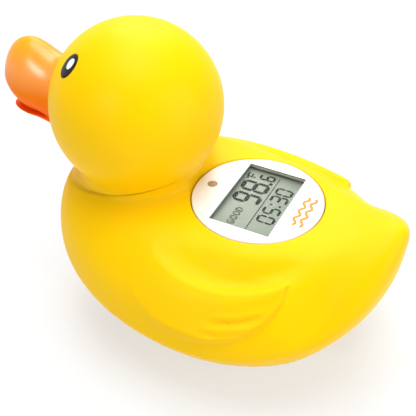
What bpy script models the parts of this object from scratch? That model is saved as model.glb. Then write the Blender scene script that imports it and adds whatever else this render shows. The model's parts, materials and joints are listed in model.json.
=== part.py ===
"""Baby bath thermometer: a floating duck with a clock and temperature module in its back.

The duck faces -Y and its left side is +X. The origin is on the floor, under the middle
of the round display face, on the flat foot that the duck stands on out of the bath.
A hollow soft skin carries a plugged beak and eyes. A rigid pod passes through the skin
from back to belly: display stack on top, battery, button and probe in the base cap.
"""

import math

import bmesh
import bpy
import numpy as np
from mathutils import Matrix
from mathutils import Vector

# Fits, in metres like every size here
GAP = 0.0003
TRIM_GAP = 0.0002
INNER_GAP = 0.0012
SKIN_T = 0.0022

# Body of the duck
BODY_W = 0.0391
BODY_MID_Y = -0.0058
BODY_REAR = 0.0470
BODY_FRONT = 0.0538
BODY_CROWN_Z = 0.0475
BODY_WIDEST = 0.43
BELLY_Z = 0.0008
KEEL_DEPTH = 0.0120
TAIL_Z = 0.0461
TAIL_TOP_Z = 0.0479
TAIL_TOP_Y = 0.0360
TAIL_ROUND = 0.0032
TAIL_LIFT = 0.0055
TAIL_LIFT_START = 0.0190
BREAST_Z = 0.0288
NECK_BLEND = 0.0080
RIM_BLEND = 0.0022
MOUND_RIM = 0.0014
MOUND_SLOPE = 1.2
MOUND_H = 0.0045
MOUND_BLEND = 0.0015

# How blunt the body's curves are, each as a power, towards the tail and towards the breast
PLAN_BLUNT = (2.1, 2.0)
WIDTH_POWER = (1.01, 0.96)
UNDER_POWER = (0.80, 1.07)
BREAST_POWER = 0.48
FLANK_POWER = 0.88
FLANK_GAIN = 0.44
FLANK_START = -0.0300
FLANK_RUN = 0.0600
BELLY_POWER = 1.20
BELLY_GAIN = 0.40

# Head
HEAD_R = 0.0237
HEAD_Y = -0.0367
HEAD_Z = 0.0631

# Stations of the skin's loft
FOLD_Y = -0.0120
FOLD_Z = 0.0520
BODY_STATIONS = 17
FOLD_STATIONS = 12
HEAD_STATIONS = 9
RAYS = 20

# Wings
WING_FRONT_Y = -0.0235
WING_TIP_Y = 0.0189
WING_TOP_Z = 0.0366
WING_SAG = 0.0185
WING_SAG_AT = 0.63
WING_LEVEL_Z = 0.0387
WING_DROP = 0.0139
WING_LIFT = 0.0020
WING_SINK = 0.0006
FEATHER_R = 0.0008

# Beak
BILL_W = 0.0080
BILL_ROOT_W = 0.0074
BILL_MID_Y = -0.0700
BILL_FRONT = 0.0094
BILL_TOP_Z = 0.0756
BILL_ROOT_TOP_Z = 0.0722
BILL_TIP_Z = 0.0636
BILL_UNDER_Z = 0.0525
BILL_BLUNT = 1.9
BILL_SECTION = 1.65
BILL_SIDES = 20
MOUTH_Z = 0.0540
MOUTH_GAP = 0.0007
MOUTH_DEPTH = 0.0140
LOWER_BILL_W = 0.0045
LOWER_BILL_ROOT_W = 0.0043
LOWER_BILL_FRONT = 0.0087
LOWER_BILL_H = 0.0028
LOWER_BILL_DROP = 0.0020
BEAK_PLUG_R = 0.0050
BEAK_FLANGE_R = 0.0064
BEAK_FLANGE_T = 0.0014

# Eyes
EYE_TURN = math.radians(51.0)
EYE_RAISE = math.radians(43.0)
EYE_W = 0.0054
EYE_H = 0.0069
EYE_STAND = 0.0001
EYE_SEAT = 0.0008
EYE_PEG_R = 0.0011
PUPIL_W = 0.0024
PUPIL_H = 0.0032
PUPIL_BACK = 0.0005
PUPIL_UP = 0.0007
PUPIL_DEPTH = 0.0004

# Display face and its stack
FACE_Z = 0.0440
FACE_R = 0.0180
FACE_T = 0.0016
FACE_CROWN = 0.0002
FACE_LIP = 0.0006
SKIRT_T = 0.0006
VIEW_W = 0.0269
VIEW_L = 0.0169
VIEW_Y = 0.0003
PANEL_W = 0.0284
PANEL_L = 0.0184
WINDOW_T = 0.0010
LCD_T = 0.0018
FRAME_T = 0.0022
BOARD_T = 0.0010
STRIP_W = 0.0014
BOSS_R = 0.0020
BOSS_X = 0.0075
BOSS_Y = 0.0124
BOARD_SCREW_R = 0.0008
BOARD_SCREW_HEAD_R = 0.0015
LAMP_Y = -0.01375
LAMP_R = 0.0014
LED_R = 0.0010
LED_H = 0.0011

# Pod
POD_WALL = 0.0015
POD_R_IN = 0.0163
SHOULDER_W = 0.0014
SHOULDER_T = 0.0015
LIP_T = 0.0034
SEAL_T = 0.0006
POD_BOSS_R = 0.0023
POD_BOSS_H = 0.0075

# Base cap and what it holds
FOOT_R = 0.0210
FOOT_T = 0.0022
SPIGOT_WALL = 0.0012
SPIGOT_H = 0.0064
CELL_R = 0.0080
CELL_T = 0.0032
CELL_Y = 0.0020
WELL_WALL = 0.0012
DOOR_R = 0.0099
DOOR_T = 0.0018
DOOR_EAR_R = 0.0026
DOOR_SEAL_R = 0.0004
DOOR_SCREW_WALL = 0.0005
CASE_SCREW_X = 0.0132
CASE_SCREW_R = 0.0009
CASE_SCREW_HEAD_R = 0.0018
CASE_SCREW_L = 0.0150
BUTTON_X = -0.0056
BUTTON_Y = -0.0118
BUTTON_R = 0.0023
BUTTON_TRAVEL = 0.0008
PROBE_X = 0.0056
PROBE_R = 0.0025
PROBE_WALL = 0.0004
RECESS = 0.0004
CONTACT_T = 0.0003
CABLE_W = 0.0080
CABLE_T = 0.0005

# Heights that follow from the stack under the face
FACE_UNDER = FACE_Z - FACE_T
WINDOW_TOP = FACE_Z - FACE_LIP - GAP
LCD_TOP = WINDOW_TOP - WINDOW_T - GAP
FRAME_TOP = LCD_TOP - LCD_T - GAP
BOARD_TOP = FRAME_TOP - FRAME_T - GAP
BOARD_UNDER = BOARD_TOP - BOARD_T
LEDGE_Z = BOARD_UNDER - GAP
LIP_UNDER = FACE_Z - LIP_T
SHOULDER_TOP = LIP_UNDER - GAP - SEAL_T - GAP
POD_TOP_R_IN = FACE_R + GAP
POD_TOP_R_OUT = POD_TOP_R_IN + POD_WALL
POD_R_OUT = POD_R_IN + POD_WALL
SHOULDER_R = POD_TOP_R_OUT + SHOULDER_W
SPIGOT_R = POD_R_IN - 0.0004
SPIGOT_TOP = FOOT_T + SPIGOT_H
BASE_BOARD_Z = SPIGOT_TOP + GAP
LEDGE_DEPTH = DOOR_T + GAP + 3.0 * DOOR_SEAL_R
CELL_Z = DOOR_T + 2.0 * DOOR_SEAL_R
WELL_R = CELL_R + 2.0 * GAP
WELL_TOP = CELL_Z + CELL_T + GAP + CONTACT_T + GAP
SEAT_Z = FOOT_T + GAP + SEAL_T + GAP
BILL_ROOT_Y = HEAD_Y - HEAD_R
DOOR_SCREW_Y = CELL_Y + DOOR_R + GAP + DOOR_SCREW_WALL + CASE_SCREW_R + GAP

SKIN_COUNTS = (BODY_STATIONS, FOLD_STATIONS, HEAD_STATIONS, RAYS)
CORE_COUNTS = (10, 6, 5, 17)

# Sides of round pieces, from the widest to the smallest
WIDE_SIDES = 36
ROUND_SIDES = 28
SMALL_SIDES = 16
TINY_SIDES = 10

PARTS = "bath_thermometer"
CUTTERS = "cutters"


def make_material(name, colour, roughness, metallic=0.0):
    """One plain surface for a sub-part."""
    material = bpy.data.materials.new(name)
    material.use_nodes = True
    shader = material.node_tree.nodes["Principled BSDF"]
    shader.inputs["Base Color"].default_value = (*colour, 1.0)
    shader.inputs["Roughness"].default_value = roughness
    shader.inputs["Metallic"].default_value = metallic
    material.diffuse_color = (*colour, 1.0)
    return material


def add_object(name, mesh, material=None):
    """Link a mesh as a sub-part, or as a cutter where it has no material."""
    obj = bpy.data.objects.new(name, mesh)
    if material is None:
        bpy.data.collections[CUTTERS].objects.link(obj)
        obj.hide_render = True
        obj.display_type = "WIRE"
    else:
        bpy.data.collections[PARTS].objects.link(obj)
        mesh.materials.append(material)
    return obj


def finish_mesh(name, bm):
    """Turn a bmesh into a smooth-shaded mesh with crisp edges past 40 degrees."""
    mesh = bpy.data.meshes.new(name)
    bm.to_mesh(mesh)
    bm.free()
    mesh.shade_smooth()
    mesh.set_sharp_from_angle(angle=math.radians(40.0))
    return mesh


def box(name, low, high, material=None):
    """A cuboid between two corners."""
    bm = bmesh.new()
    low, high = Vector(low), Vector(high)
    size = high - low
    place = Matrix.Translation((low + high) / 2.0) @ Matrix.Diagonal((*size, 1.0))
    bmesh.ops.create_cube(bm, size=1.0, matrix=place)
    return add_object(name, finish_mesh(name, bm), material)


def rod(name, radius, z_low, z_high, x=0.0, y=0.0, sides=SMALL_SIDES, material=None, frame=None):
    """A cylinder along Z, or along the Z axis of the given frame."""
    bm = bmesh.new()
    middle = Matrix.Translation((x, y, (z_low + z_high) / 2.0))
    bmesh.ops.create_cone(
        bm, cap_ends=True, segments=sides, radius1=radius, radius2=radius,
        depth=z_high - z_low, matrix=(frame or Matrix.Identity(4)) @ middle)
    return add_object(name, finish_mesh(name, bm), material)


def turned(name, profile, x=0.0, y=0.0, steps=WIDE_SIDES, material=None, closed=False):
    """A profile of (radius, height) points turned about the vertical through (x, y).

    The profile runs down its outer side. A closed profile makes a ring.
    """
    points = [(r, 0.0, z) for r, z in profile]
    edges = [(i, i + 1) for i in range(len(points) - 1)]
    if closed:
        edges.append((len(points) - 1, 0))
    mesh = bpy.data.meshes.new(name)
    mesh.from_pydata(points, edges, [])
    obj = add_object(name, mesh, material)
    obj.location = (x, y, 0.0)
    screw = obj.modifiers.new("turn", "SCREW")
    screw.steps = steps
    screw.render_steps = steps
    screw.use_merge_vertices = True
    screw.merge_threshold = 0.00001
    screw.use_smooth_shade = False
    return obj


def ring(name, r_in, r_out, z_low, z_high, steps=ROUND_SIDES, material=None):
    """A flat washer or a short tube."""
    profile = [(r_out, z_high), (r_out, z_low), (r_in, z_low), (r_in, z_high)]
    return turned(name, profile, steps=steps, material=material, closed=True)


def join(obj, other, operation):
    """Cut, join or intersect one object by another, which becomes a guide."""
    step = obj.modifiers.new(operation.lower(), "BOOLEAN")
    step.object = other
    step.operation = operation
    step.solver = "EXACT"
    return obj


def cut(obj, *others):
    for other in others:
        join(obj, other, "DIFFERENCE")
    return obj


def add(obj, *others):
    for other in others:
        join(obj, other, "UNION")
    return obj


def smooth_step(value):
    """Eased ramp from 0 to 1."""
    value = np.clip(value, 0.0, 1.0)
    return value * value * (3.0 - 2.0 * value)


def soft_min(a, b, reach):
    """Smaller of two distances, with a fillet where they are within reach of each other."""
    mix = np.clip(0.5 + 0.5 * (b - a) / reach, 0.0, 1.0)
    return b + (a - b) * mix - reach * mix * (1.0 - mix)


def body_section(y, inset):
    """Half-width, lowest, widest and highest height of the body's cross-section at y.

    The plan is a superellipse in each direction from the widest station, the belly line
    rises to the tail and the breast, and the back rises to the upturned tail.
    """
    rear = y > BODY_MID_Y
    length = np.where(rear, BODY_REAR, BODY_FRONT) - inset
    along = np.clip((y - BODY_MID_Y) / length, -1.0, 1.0)
    across = np.sqrt(np.maximum(1.0 - np.abs(along) ** np.where(rear, *PLAN_BLUNT), 1e-8))
    width = (BODY_W - inset) * across ** np.where(rear, *WIDTH_POWER)
    end = np.where(rear, TAIL_Z, BREAST_Z)
    low = end * (1.0 - across ** np.where(rear, *UNDER_POWER))
    back = BODY_CROWN_Z + (TAIL_TOP_Z - BODY_CROWN_Z) * np.clip(y / TAIL_TOP_Y, 0.0, 2.0) ** 2
    tip = BODY_MID_Y + BODY_REAR
    over = np.clip((y - (tip - TAIL_ROUND)) / TAIL_ROUND, 0.0, 1.0)
    back = back - TAIL_ROUND * (1.0 - np.sqrt(np.maximum(1.0 - over * over, 0.0)))
    front = BREAST_Z + (BODY_CROWN_Z - BREAST_Z) * across ** BREAST_POWER
    high = np.where(rear, back, front)
    widest = low + BODY_WIDEST * (high - low)
    flat = 1.0 - smooth_step(low / (1.2 * KEEL_DEPTH))
    return width, low - KEEL_DEPTH * flat + inset, widest, high - inset, flat


def flank_power(y, above, flat):
    """Roundness of the flanks: above the widest line by the place along the body, below by the belly."""
    upper = FLANK_POWER + FLANK_GAIN * smooth_step((y - FLANK_START) / FLANK_RUN)
    return np.where(above, upper, BELLY_POWER + BELLY_GAIN * flat)


def body_distance(p, inset):
    """Rough signed distance to the body, before its flat back and belly are cut."""
    width, low, widest, high, flat = body_section(p[..., 1], inset)
    rise = p[..., 2] - widest
    above = rise > 0.0
    reach = np.maximum(np.where(above, high - widest, widest - low), 1e-5)
    power = flank_power(p[..., 1], above, flat)
    scaled = np.abs(p[..., 0] / width) ** (2.0 / power) + np.abs(rise / reach) ** (2.0 / power)
    radius = np.maximum(scaled, 1e-9) ** (power / 2.0)
    return (1.0 - 1.0 / radius) * np.hypot(p[..., 0], rise)


def skin_distance(p, inset=0.0):
    """Rough signed distance to the duck: flattened body and round head, filleted.

    A low conical mound round the display face keeps the skin flush with its rim.
    """
    down = FACE_Z - p[..., 2]
    cone = np.hypot(p[..., 0], p[..., 1]) - FACE_R - MOUND_RIM - MOUND_SLOPE * down
    mound = np.maximum(cone / math.hypot(1.0, MOUND_SLOPE), down - MOUND_H) + inset
    lift = np.clip((p[..., 1] - TAIL_LIFT_START) / (TAIL_TOP_Y - TAIL_LIFT_START), 0.0, 2.0)
    back = p[..., 2] - (FACE_Z - inset + TAIL_LIFT * lift * lift)
    body = -soft_min(-soft_min(body_distance(p, inset), mound, MOUND_BLEND), -back, RIM_BLEND)
    centre = p - np.array([0.0, HEAD_Y, HEAD_Z])
    head = np.linalg.norm(centre, axis=-1) - (HEAD_R - inset)
    both = soft_min(head, body, NECK_BLEND)
    return np.maximum(both, BELLY_Z + inset - p[..., 2])


def skin_stations(inset, body_count, fold_count, head_count):
    """Where each cross-section starts and which way is outward in its plane.

    Upright planes run from the tail to the nape, then planes fan about the fold behind
    the neck, and level planes climb the head.
    """
    ease = 0.5 - 0.5 * np.cos(np.linspace(0.0, math.pi, 2 * body_count)[1:body_count + 1])
    tail = BODY_MID_Y + BODY_REAR - inset
    ys = tail + (FOLD_Y - tail) * (ease / ease[-1]) ** 0.8
    top = np.full_like(ys, FOLD_Z + 0.002)
    starts = [np.stack([0.0 * ys, ys, top], -1)]
    ways = [np.tile([0.0, 0.0, -1.0], (len(ys), 1))]
    turn = np.linspace(0.0, math.pi / 2.0, fold_count + 2)[1:-1]
    starts.append(np.tile([0.0, FOLD_Y, FOLD_Z], (len(turn), 1)))
    ways.append(np.stack([0.0 * turn, -np.sin(turn), -np.cos(turn)], -1))
    top_angle = np.linspace(math.asin((FOLD_Z - HEAD_Z) / HEAD_R), math.pi / 2.0, head_count + 1)
    zs = HEAD_Z + (HEAD_R - inset) * np.sin(top_angle[:-1])
    starts.append(np.stack([0.0 * zs, np.full_like(zs, HEAD_Y + HEAD_R), zs], -1))
    ways.append(np.tile([0.0, -1.0, 0.0], (len(zs), 1)))
    return np.concatenate(starts), np.concatenate(ways)


def skin_half(inset, body_count, fold_count, head_count, rays):
    """Points of the +X half of the skin: one row for each station, underside to top."""
    starts, ways = skin_stations(inset, body_count, fold_count, head_count)
    steps = np.linspace(0.0, 0.080, 600)
    line = starts[:, None] + ways[:, None] * steps[None, :, None]
    inside = skin_distance(line, inset) < 0.0
    first = steps[np.argmax(inside, axis=1)]
    last = steps[len(steps) - 1 - np.argmax(inside[:, ::-1], axis=1)]
    centres = starts + ways * ((first + last) / 2.0)[:, None]
    angle = np.linspace(0.0, math.pi, rays)[None, :, None]
    side = np.array([1.0, 0.0, 0.0])
    rays_out = ways[:, None] * np.cos(angle) + side * np.sin(angle)
    rays_out[:, (0, -1), 0] = 0.0
    reach = np.linspace(0.0, 0.070, 140)[None, None, :, None]
    probe = centres[:, None, None] + rays_out[:, :, None] * reach
    outside = skin_distance(probe, inset) > 0.0
    outside[:, :, -1] = True
    index = np.argmax(outside, axis=2)
    near = reach[0, 0, np.maximum(index - 1, 0), 0]
    far = reach[0, 0, index, 0]
    for _ in range(24):
        middle = (near + far) / 2.0
        beyond = skin_distance(centres[:, None] + rays_out * middle[..., None], inset) > 0.0
        near = np.where(beyond, near, middle)
        far = np.where(beyond, middle, far)
    return centres[:, None] + rays_out * far[..., None]


def skin_object(name, inset, counts, material=None):
    """The closed duck shape: half of it lofted through the stations, then mirrored."""
    grid = skin_half(inset, *counts)
    rows, cols = grid.shape[:2]
    tail = np.array([0.0, BODY_MID_Y + BODY_REAR - inset, grid[0, :, 2].mean()])
    crown = np.array([0.0, HEAD_Y, HEAD_Z + HEAD_R - inset])
    points = np.concatenate([grid.reshape(-1, 3), [tail, crown]])
    faces = []
    for i in range(rows - 1):
        for j in range(cols - 1):
            a = i * cols + j
            faces.append((a, a + 1, a + cols + 1, a + cols))
    first, last = rows * cols, rows * cols + 1
    for j in range(cols - 1):
        faces.append((first, j + 1, j))
        faces.append((last, (rows - 1) * cols + j, (rows - 1) * cols + j + 1))
    mesh = bpy.data.meshes.new(name)
    mesh.from_pydata(points.tolist(), [], faces)
    mesh.shade_smooth()
    obj = add_object(name, mesh, material)
    mirror = obj.modifiers.new("other half", "MIRROR")
    mirror.merge_threshold = 0.00001
    return obj


def side_x(y, z):
    """How far out the body's side lies at (y, z)."""
    width, low, widest, high, flat = body_section(y, 0.0)
    rise = z - widest
    reach = np.where(rise > 0.0, high - widest, widest - low)
    power = flank_power(y, rise > 0.0, flat)
    return width * np.maximum(1.0 - np.abs(rise / reach) ** (2.0 / power), 0.0) ** (power / 2.0)


def wing_edges(u):
    """Place along the body, upper edge and lower edge of the wing at u from 0 to 1.

    The upper edge sags from the shoulder and rises to the tip. The lower edge is a half oval
    that swings from the shoulder down and back up to the tip.
    """
    y = WING_FRONT_Y + (WING_TIP_Y - WING_FRONT_Y) * u
    upper = WING_TOP_Z + WING_SAG * np.minimum((u - WING_SAG_AT) ** 2, 0.25)
    oval = np.sqrt(np.maximum(1.0 - np.abs(2.0 * u ** 0.9 - 1.0) ** 2.2, 0.0))
    return y, upper, WING_LEVEL_Z - WING_DROP * oval


def wing_pads():
    """Both wings as padded shapes: a domed outer side over a back inside the skin's wall."""
    u = np.linspace(0.015, 0.985, 18)[:, None]
    v = np.linspace(0.0, 1.0, 7)[None, :]
    y, upper, lower = wing_edges(u)
    z = upper + (lower - upper) * v
    y = y + 0.0 * v
    lift = -WING_SINK + (WING_LIFT + WING_SINK) * smooth_step(u / 0.75) ** 0.8
    soft = 1.0 - (0.55 - 0.35 * smooth_step(u / 0.9)) * v ** 3
    outer = np.stack([side_x(y, z) + lift * soft, y, z], -1)
    inner = np.stack([side_x(y, z) - 0.5 * SKIN_T, y, z], -1)
    rows, cols = outer.shape[:2]
    bm = bmesh.new()
    sheets = [[[bm.verts.new(p) for p in row] for row in sheet.tolist()] for sheet in (outer, inner)]
    for sheet in sheets:
        for one, two in zip(sheet, sheet[1:]):
            for j in range(cols - 1):
                bm.faces.new((one[j], one[j + 1], two[j + 1], two[j]))
    border = ([(i, 0) for i in range(rows)] + [(rows - 1, j) for j in range(1, cols)]
              + [(i, cols - 1) for i in range(rows - 2, -1, -1)] + [(0, j) for j in range(cols - 2, 0, -1)])
    for (i, j), (k, m) in zip(border, border[1:] + border[:1]):
        bm.faces.new((sheets[0][i][j], sheets[0][k][m], sheets[1][k][m], sheets[1][i][j]))
    bmesh.ops.recalc_face_normals(bm, faces=bm.faces)
    pads = add_object("wing_pads", finish_mesh("wing_pads", bm))
    mirror = pads.modifiers.new("other wing", "MIRROR")
    mirror.merge_threshold = 0.00001
    return pads


def feather_groove(name, front, rear, sag):
    """A shallow curved groove between two (y, z) places on the wing, as a tube cutter."""
    t = np.linspace(0.0, 1.0, 6)
    y = front[0] + (rear[0] - front[0]) * t
    z = front[1] + (rear[1] - front[1]) * t - sag * np.sin(math.pi * t)
    x = side_x(y, z) + WING_LIFT * 0.85 + FEATHER_R * (0.35 + 1.3 * (2.0 * t - 1.0) ** 4)
    curve = bpy.data.curves.new(name, "CURVE")
    curve.dimensions = "3D"
    curve.bevel_depth = FEATHER_R
    curve.bevel_resolution = 1
    curve.use_fill_caps = True
    spline = curve.splines.new("POLY")
    spline.points.add(len(t) - 1)
    for point, place in zip(spline.points, zip(x, y, z)):
        point.co = (*map(float, place), 1.0)
    source = bpy.data.objects.new(name + "_line", curve)
    bpy.data.collections[CUTTERS].objects.link(source)
    bpy.context.view_layer.update()
    graph = bpy.context.evaluated_depsgraph_get()
    mesh = bpy.data.meshes.new_from_object(source.evaluated_get(graph))
    bpy.data.objects.remove(source)
    bm = bmesh.new()
    bm.from_mesh(mesh)
    bmesh.ops.remove_doubles(bm, verts=bm.verts, dist=0.00001)
    bmesh.ops.recalc_face_normals(bm, faces=bm.faces)
    groove = add_object(name, finish_mesh(name, bm))
    mirror = groove.modifiers.new("other wing", "MIRROR")
    mirror.merge_threshold = 0.00001
    return groove


def eye_frame(side):
    """Frame on the head's surface: Z along the outward normal, Y up the eye's long axis."""
    turn = EYE_TURN * side
    level = math.cos(EYE_RAISE)
    normal = Vector((math.sin(turn) * level, -math.cos(turn) * level, math.sin(EYE_RAISE)))
    right = Vector((0.0, 0.0, 1.0)).cross(normal).normalized()
    up = normal.cross(right)
    place = Vector((0.0, HEAD_Y, HEAD_Z)) + normal * HEAD_R
    frame = Matrix((right, up, normal)).transposed().to_4x4()
    frame.translation = place
    return frame


def oval(name, width, height, z_low, z_high, frame, sides=SMALL_SIDES, material=None, bevel=0.0):
    """An oval disc in a frame, with its top edge rounded where a bevel is given."""
    bm = bmesh.new()
    place = Matrix.Translation((0.0, 0.0, (z_low + z_high) / 2.0))
    stretch = Matrix.Diagonal((width / 2.0, height / 2.0, 1.0, 1.0))
    bmesh.ops.create_cone(bm, cap_ends=True, segments=sides, radius1=1.0, radius2=1.0,
                          depth=z_high - z_low, matrix=place @ stretch)
    if bevel:
        rim = [e for e in bm.edges if all(v.co.z > z_high - 1e-6 for v in e.verts)]
        bmesh.ops.bevel(bm, geom=rim, offset=bevel, segments=2, profile=0.5, affect="EDGES")
    bm.transform(frame)
    return add_object(name, finish_mesh(name, bm), material)


def make_eyes(hull, black, white):
    """Pushed-in oval eyes with a pale pupil each, and their seats in the head."""
    for label, side in (("left", 1.0), ("right", -1.0)):
        frame = eye_frame(side)
        inset = frame @ Matrix.Translation((side * PUPIL_BACK, PUPIL_UP, 0.0))
        clear = 2.0 * TRIM_GAP
        seat = oval("eye_seat_" + label, EYE_W + clear, EYE_H + clear, -EYE_SEAT, 0.003, frame)
        hole = rod("eye_hole_" + label, EYE_PEG_R + TRIM_GAP, -2.0 * SKIN_T, 0.001,
                   sides=TINY_SIDES, frame=frame)
        cut(hull, seat, hole)
        eye = oval("eye_" + label, EYE_W, EYE_H, TRIM_GAP - EYE_SEAT, EYE_STAND, frame,
                   material=black, bevel=0.00025)
        inner = -SKIN_T - INNER_GAP
        peg = rod("eye_peg_" + label, EYE_PEG_R, inner - 0.0008, 0.0, sides=TINY_SIDES, frame=frame)
        barb = rod("eye_barb_" + label, EYE_PEG_R + 0.0005, inner - 0.0008, inner,
                   sides=TINY_SIDES, frame=frame)
        add(eye, peg, barb)
        floor = EYE_STAND - PUPIL_DEPTH
        pocket = oval("pupil_seat_" + label, PUPIL_W + clear, PUPIL_H + clear, floor, 0.003, inset)
        cut(eye, pocket)
        oval("pupil_" + label, PUPIL_W, PUPIL_H, floor + TRIM_GAP, EYE_STAND + 0.0001, inset,
             material=white, bevel=0.0001)


def bill_loft(name, half_width, root_width, heights, root_top, front, root_drop=0.0):
    """One bill: oval sections from inside the head to a blunt rounded tip.

    The heights are its underside, the level of its tip and widest line, and its top. At the
    root its underside lies lower by the root drop.
    """
    low, level, top = heights
    root = BILL_ROOT_Y + 0.0060
    tail = np.linspace(0.0, 1.0, 5)[:-1]
    nose = np.sin(np.linspace(0.0, 0.5 * math.pi, 7))[:-1]
    ys = np.concatenate([root + (BILL_MID_Y - root) * tail, BILL_MID_Y - front * nose])
    behind = smooth_step((ys - BILL_MID_Y) / (BILL_ROOT_Y - BILL_MID_Y))
    ahead = np.clip((BILL_MID_Y - ys) / front, 0.0, 1.0)
    close = (1.0 - ahead ** BILL_BLUNT) ** (1.0 / BILL_BLUNT)
    wide = (half_width + (root_width - half_width) * behind) * close
    above = (top + (root_top - top) * behind - level) * close
    below = (level - low + root_drop * behind) * close
    turn = np.linspace(0.0, 2.0 * math.pi, BILL_SIDES, endpoint=False)
    side, rise = [np.sign(a) * np.abs(a) ** (2.0 / BILL_SECTION) for a in (np.cos(turn), np.sin(turn))]
    bm = bmesh.new()
    rings = []
    for y, w, up, down in zip(ys, wide, above, below):
        z_round = level + np.where(rise > 0.0, up, down) * rise
        rings.append([bm.verts.new((w * x, y, z)) for x, z in zip(side, z_round)])
    tip = bm.verts.new((0.0, BILL_MID_Y - front, level))
    for one, two in zip(rings, rings[1:]):
        for j in range(BILL_SIDES):
            k = (j + 1) % BILL_SIDES
            bm.faces.new((one[j], one[k], two[k], two[j]))
    for j in range(BILL_SIDES):
        bm.faces.new((rings[-1][j], rings[-1][(j + 1) % BILL_SIDES], tip))
    bm.faces.new(rings[0])
    bmesh.ops.recalc_face_normals(bm, faces=bm.faces)
    return finish_mesh(name, bm)


def make_beak(hull, orange):
    """A one-piece beak, plugged through the head's wall, with a parted mouth."""
    upper = bill_loft("beak", BILL_W, BILL_ROOT_W, (BILL_UNDER_Z, BILL_TIP_Z, BILL_TOP_Z),
                      BILL_ROOT_TOP_Z, BILL_FRONT)
    beak = add_object("beak", upper, orange)
    lower_top = MOUTH_Z + 0.3 * LOWER_BILL_H
    lower = bill_loft("lower_bill", LOWER_BILL_W, LOWER_BILL_ROOT_W,
                      (MOUTH_Z - LOWER_BILL_H, MOUTH_Z - 0.35 * LOWER_BILL_H, lower_top),
                      lower_top, LOWER_BILL_FRONT, LOWER_BILL_DROP)
    add(beak, add_object("lower_bill", lower))
    slot_back = BILL_MID_Y - BILL_FRONT + MOUTH_DEPTH
    slot = box("mouth_slot", (-0.02, slot_back - 0.04, MOUTH_Z - MOUTH_GAP), (0.02, slot_back, MOUTH_Z))
    cut(beak, slot)
    cut(beak, skin_object("head_clearance", -GAP, SKIN_COUNTS))
    middle = (BILL_ROOT_TOP_Z + MOUTH_Z) / 2.0
    facing = Matrix.Translation((0.0, HEAD_Y, middle)) @ Matrix.Rotation(math.pi / 2.0, 4, "X")
    inner = math.sqrt((HEAD_R - SKIN_T) ** 2 - (BEAK_FLANGE_R + abs(middle - HEAD_Z)) ** 2)
    flange = inner - INNER_GAP - BEAK_FLANGE_T
    add(beak, rod("beak_plug", BEAK_PLUG_R, flange, HEAD_R + 0.0040, frame=facing),
        rod("beak_flange", BEAK_FLANGE_R, flange, flange + BEAK_FLANGE_T, frame=facing))
    cut(hull, rod("beak_bore", BEAK_PLUG_R + GAP, HEAD_R / 2.0, HEAD_R + 0.01, frame=facing))
    return beak


def make_hull(yellow):
    """The hollow skin, with a ring-shaped lip at the face, a seat at the base, and wings."""
    hull = skin_object("hull", 0.0, SKIN_COUNTS, yellow)
    core = skin_object("core", SKIN_T, CORE_COUNTS)
    cut(hull, core)
    add(hull, rod("lip_block", SHOULDER_R + 0.0009, LIP_UNDER, LIP_UNDER + 0.0011, sides=ROUND_SIDES),
        rod("seat_block", FOOT_R + 0.0020, SEAT_Z - 0.0001, SEAT_Z + 0.0040, sides=ROUND_SIDES))
    add(hull, wing_pads())
    cut(hull, feather_groove("feather_high", (0.0045, 0.0307), (0.0154, 0.0331), 0.0006),
        feather_groove("feather_low", (0.0025, 0.0282), (0.0121, 0.0295), 0.0005))
    cut(hull, rod("face_hole", FACE_R + GAP, FACE_Z - 0.008, FACE_Z + 0.004, sides=WIDE_SIDES),
        rod("shoulder_room", SHOULDER_R + GAP, SHOULDER_TOP - 2.0 * SHOULDER_T, LIP_UNDER,
            sides=ROUND_SIDES),
        rod("base_bore", POD_R_OUT + GAP, -0.001, SEAT_Z + 0.008, sides=ROUND_SIDES),
        rod("base_seat", FOOT_R + GAP, -0.001, SEAT_Z, sides=ROUND_SIDES))
    return hull


def boss_places():
    return [(sx * BOSS_X, sy * BOSS_Y) for sx in (1.0, -1.0) for sy in (1.0, -1.0)]


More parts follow.
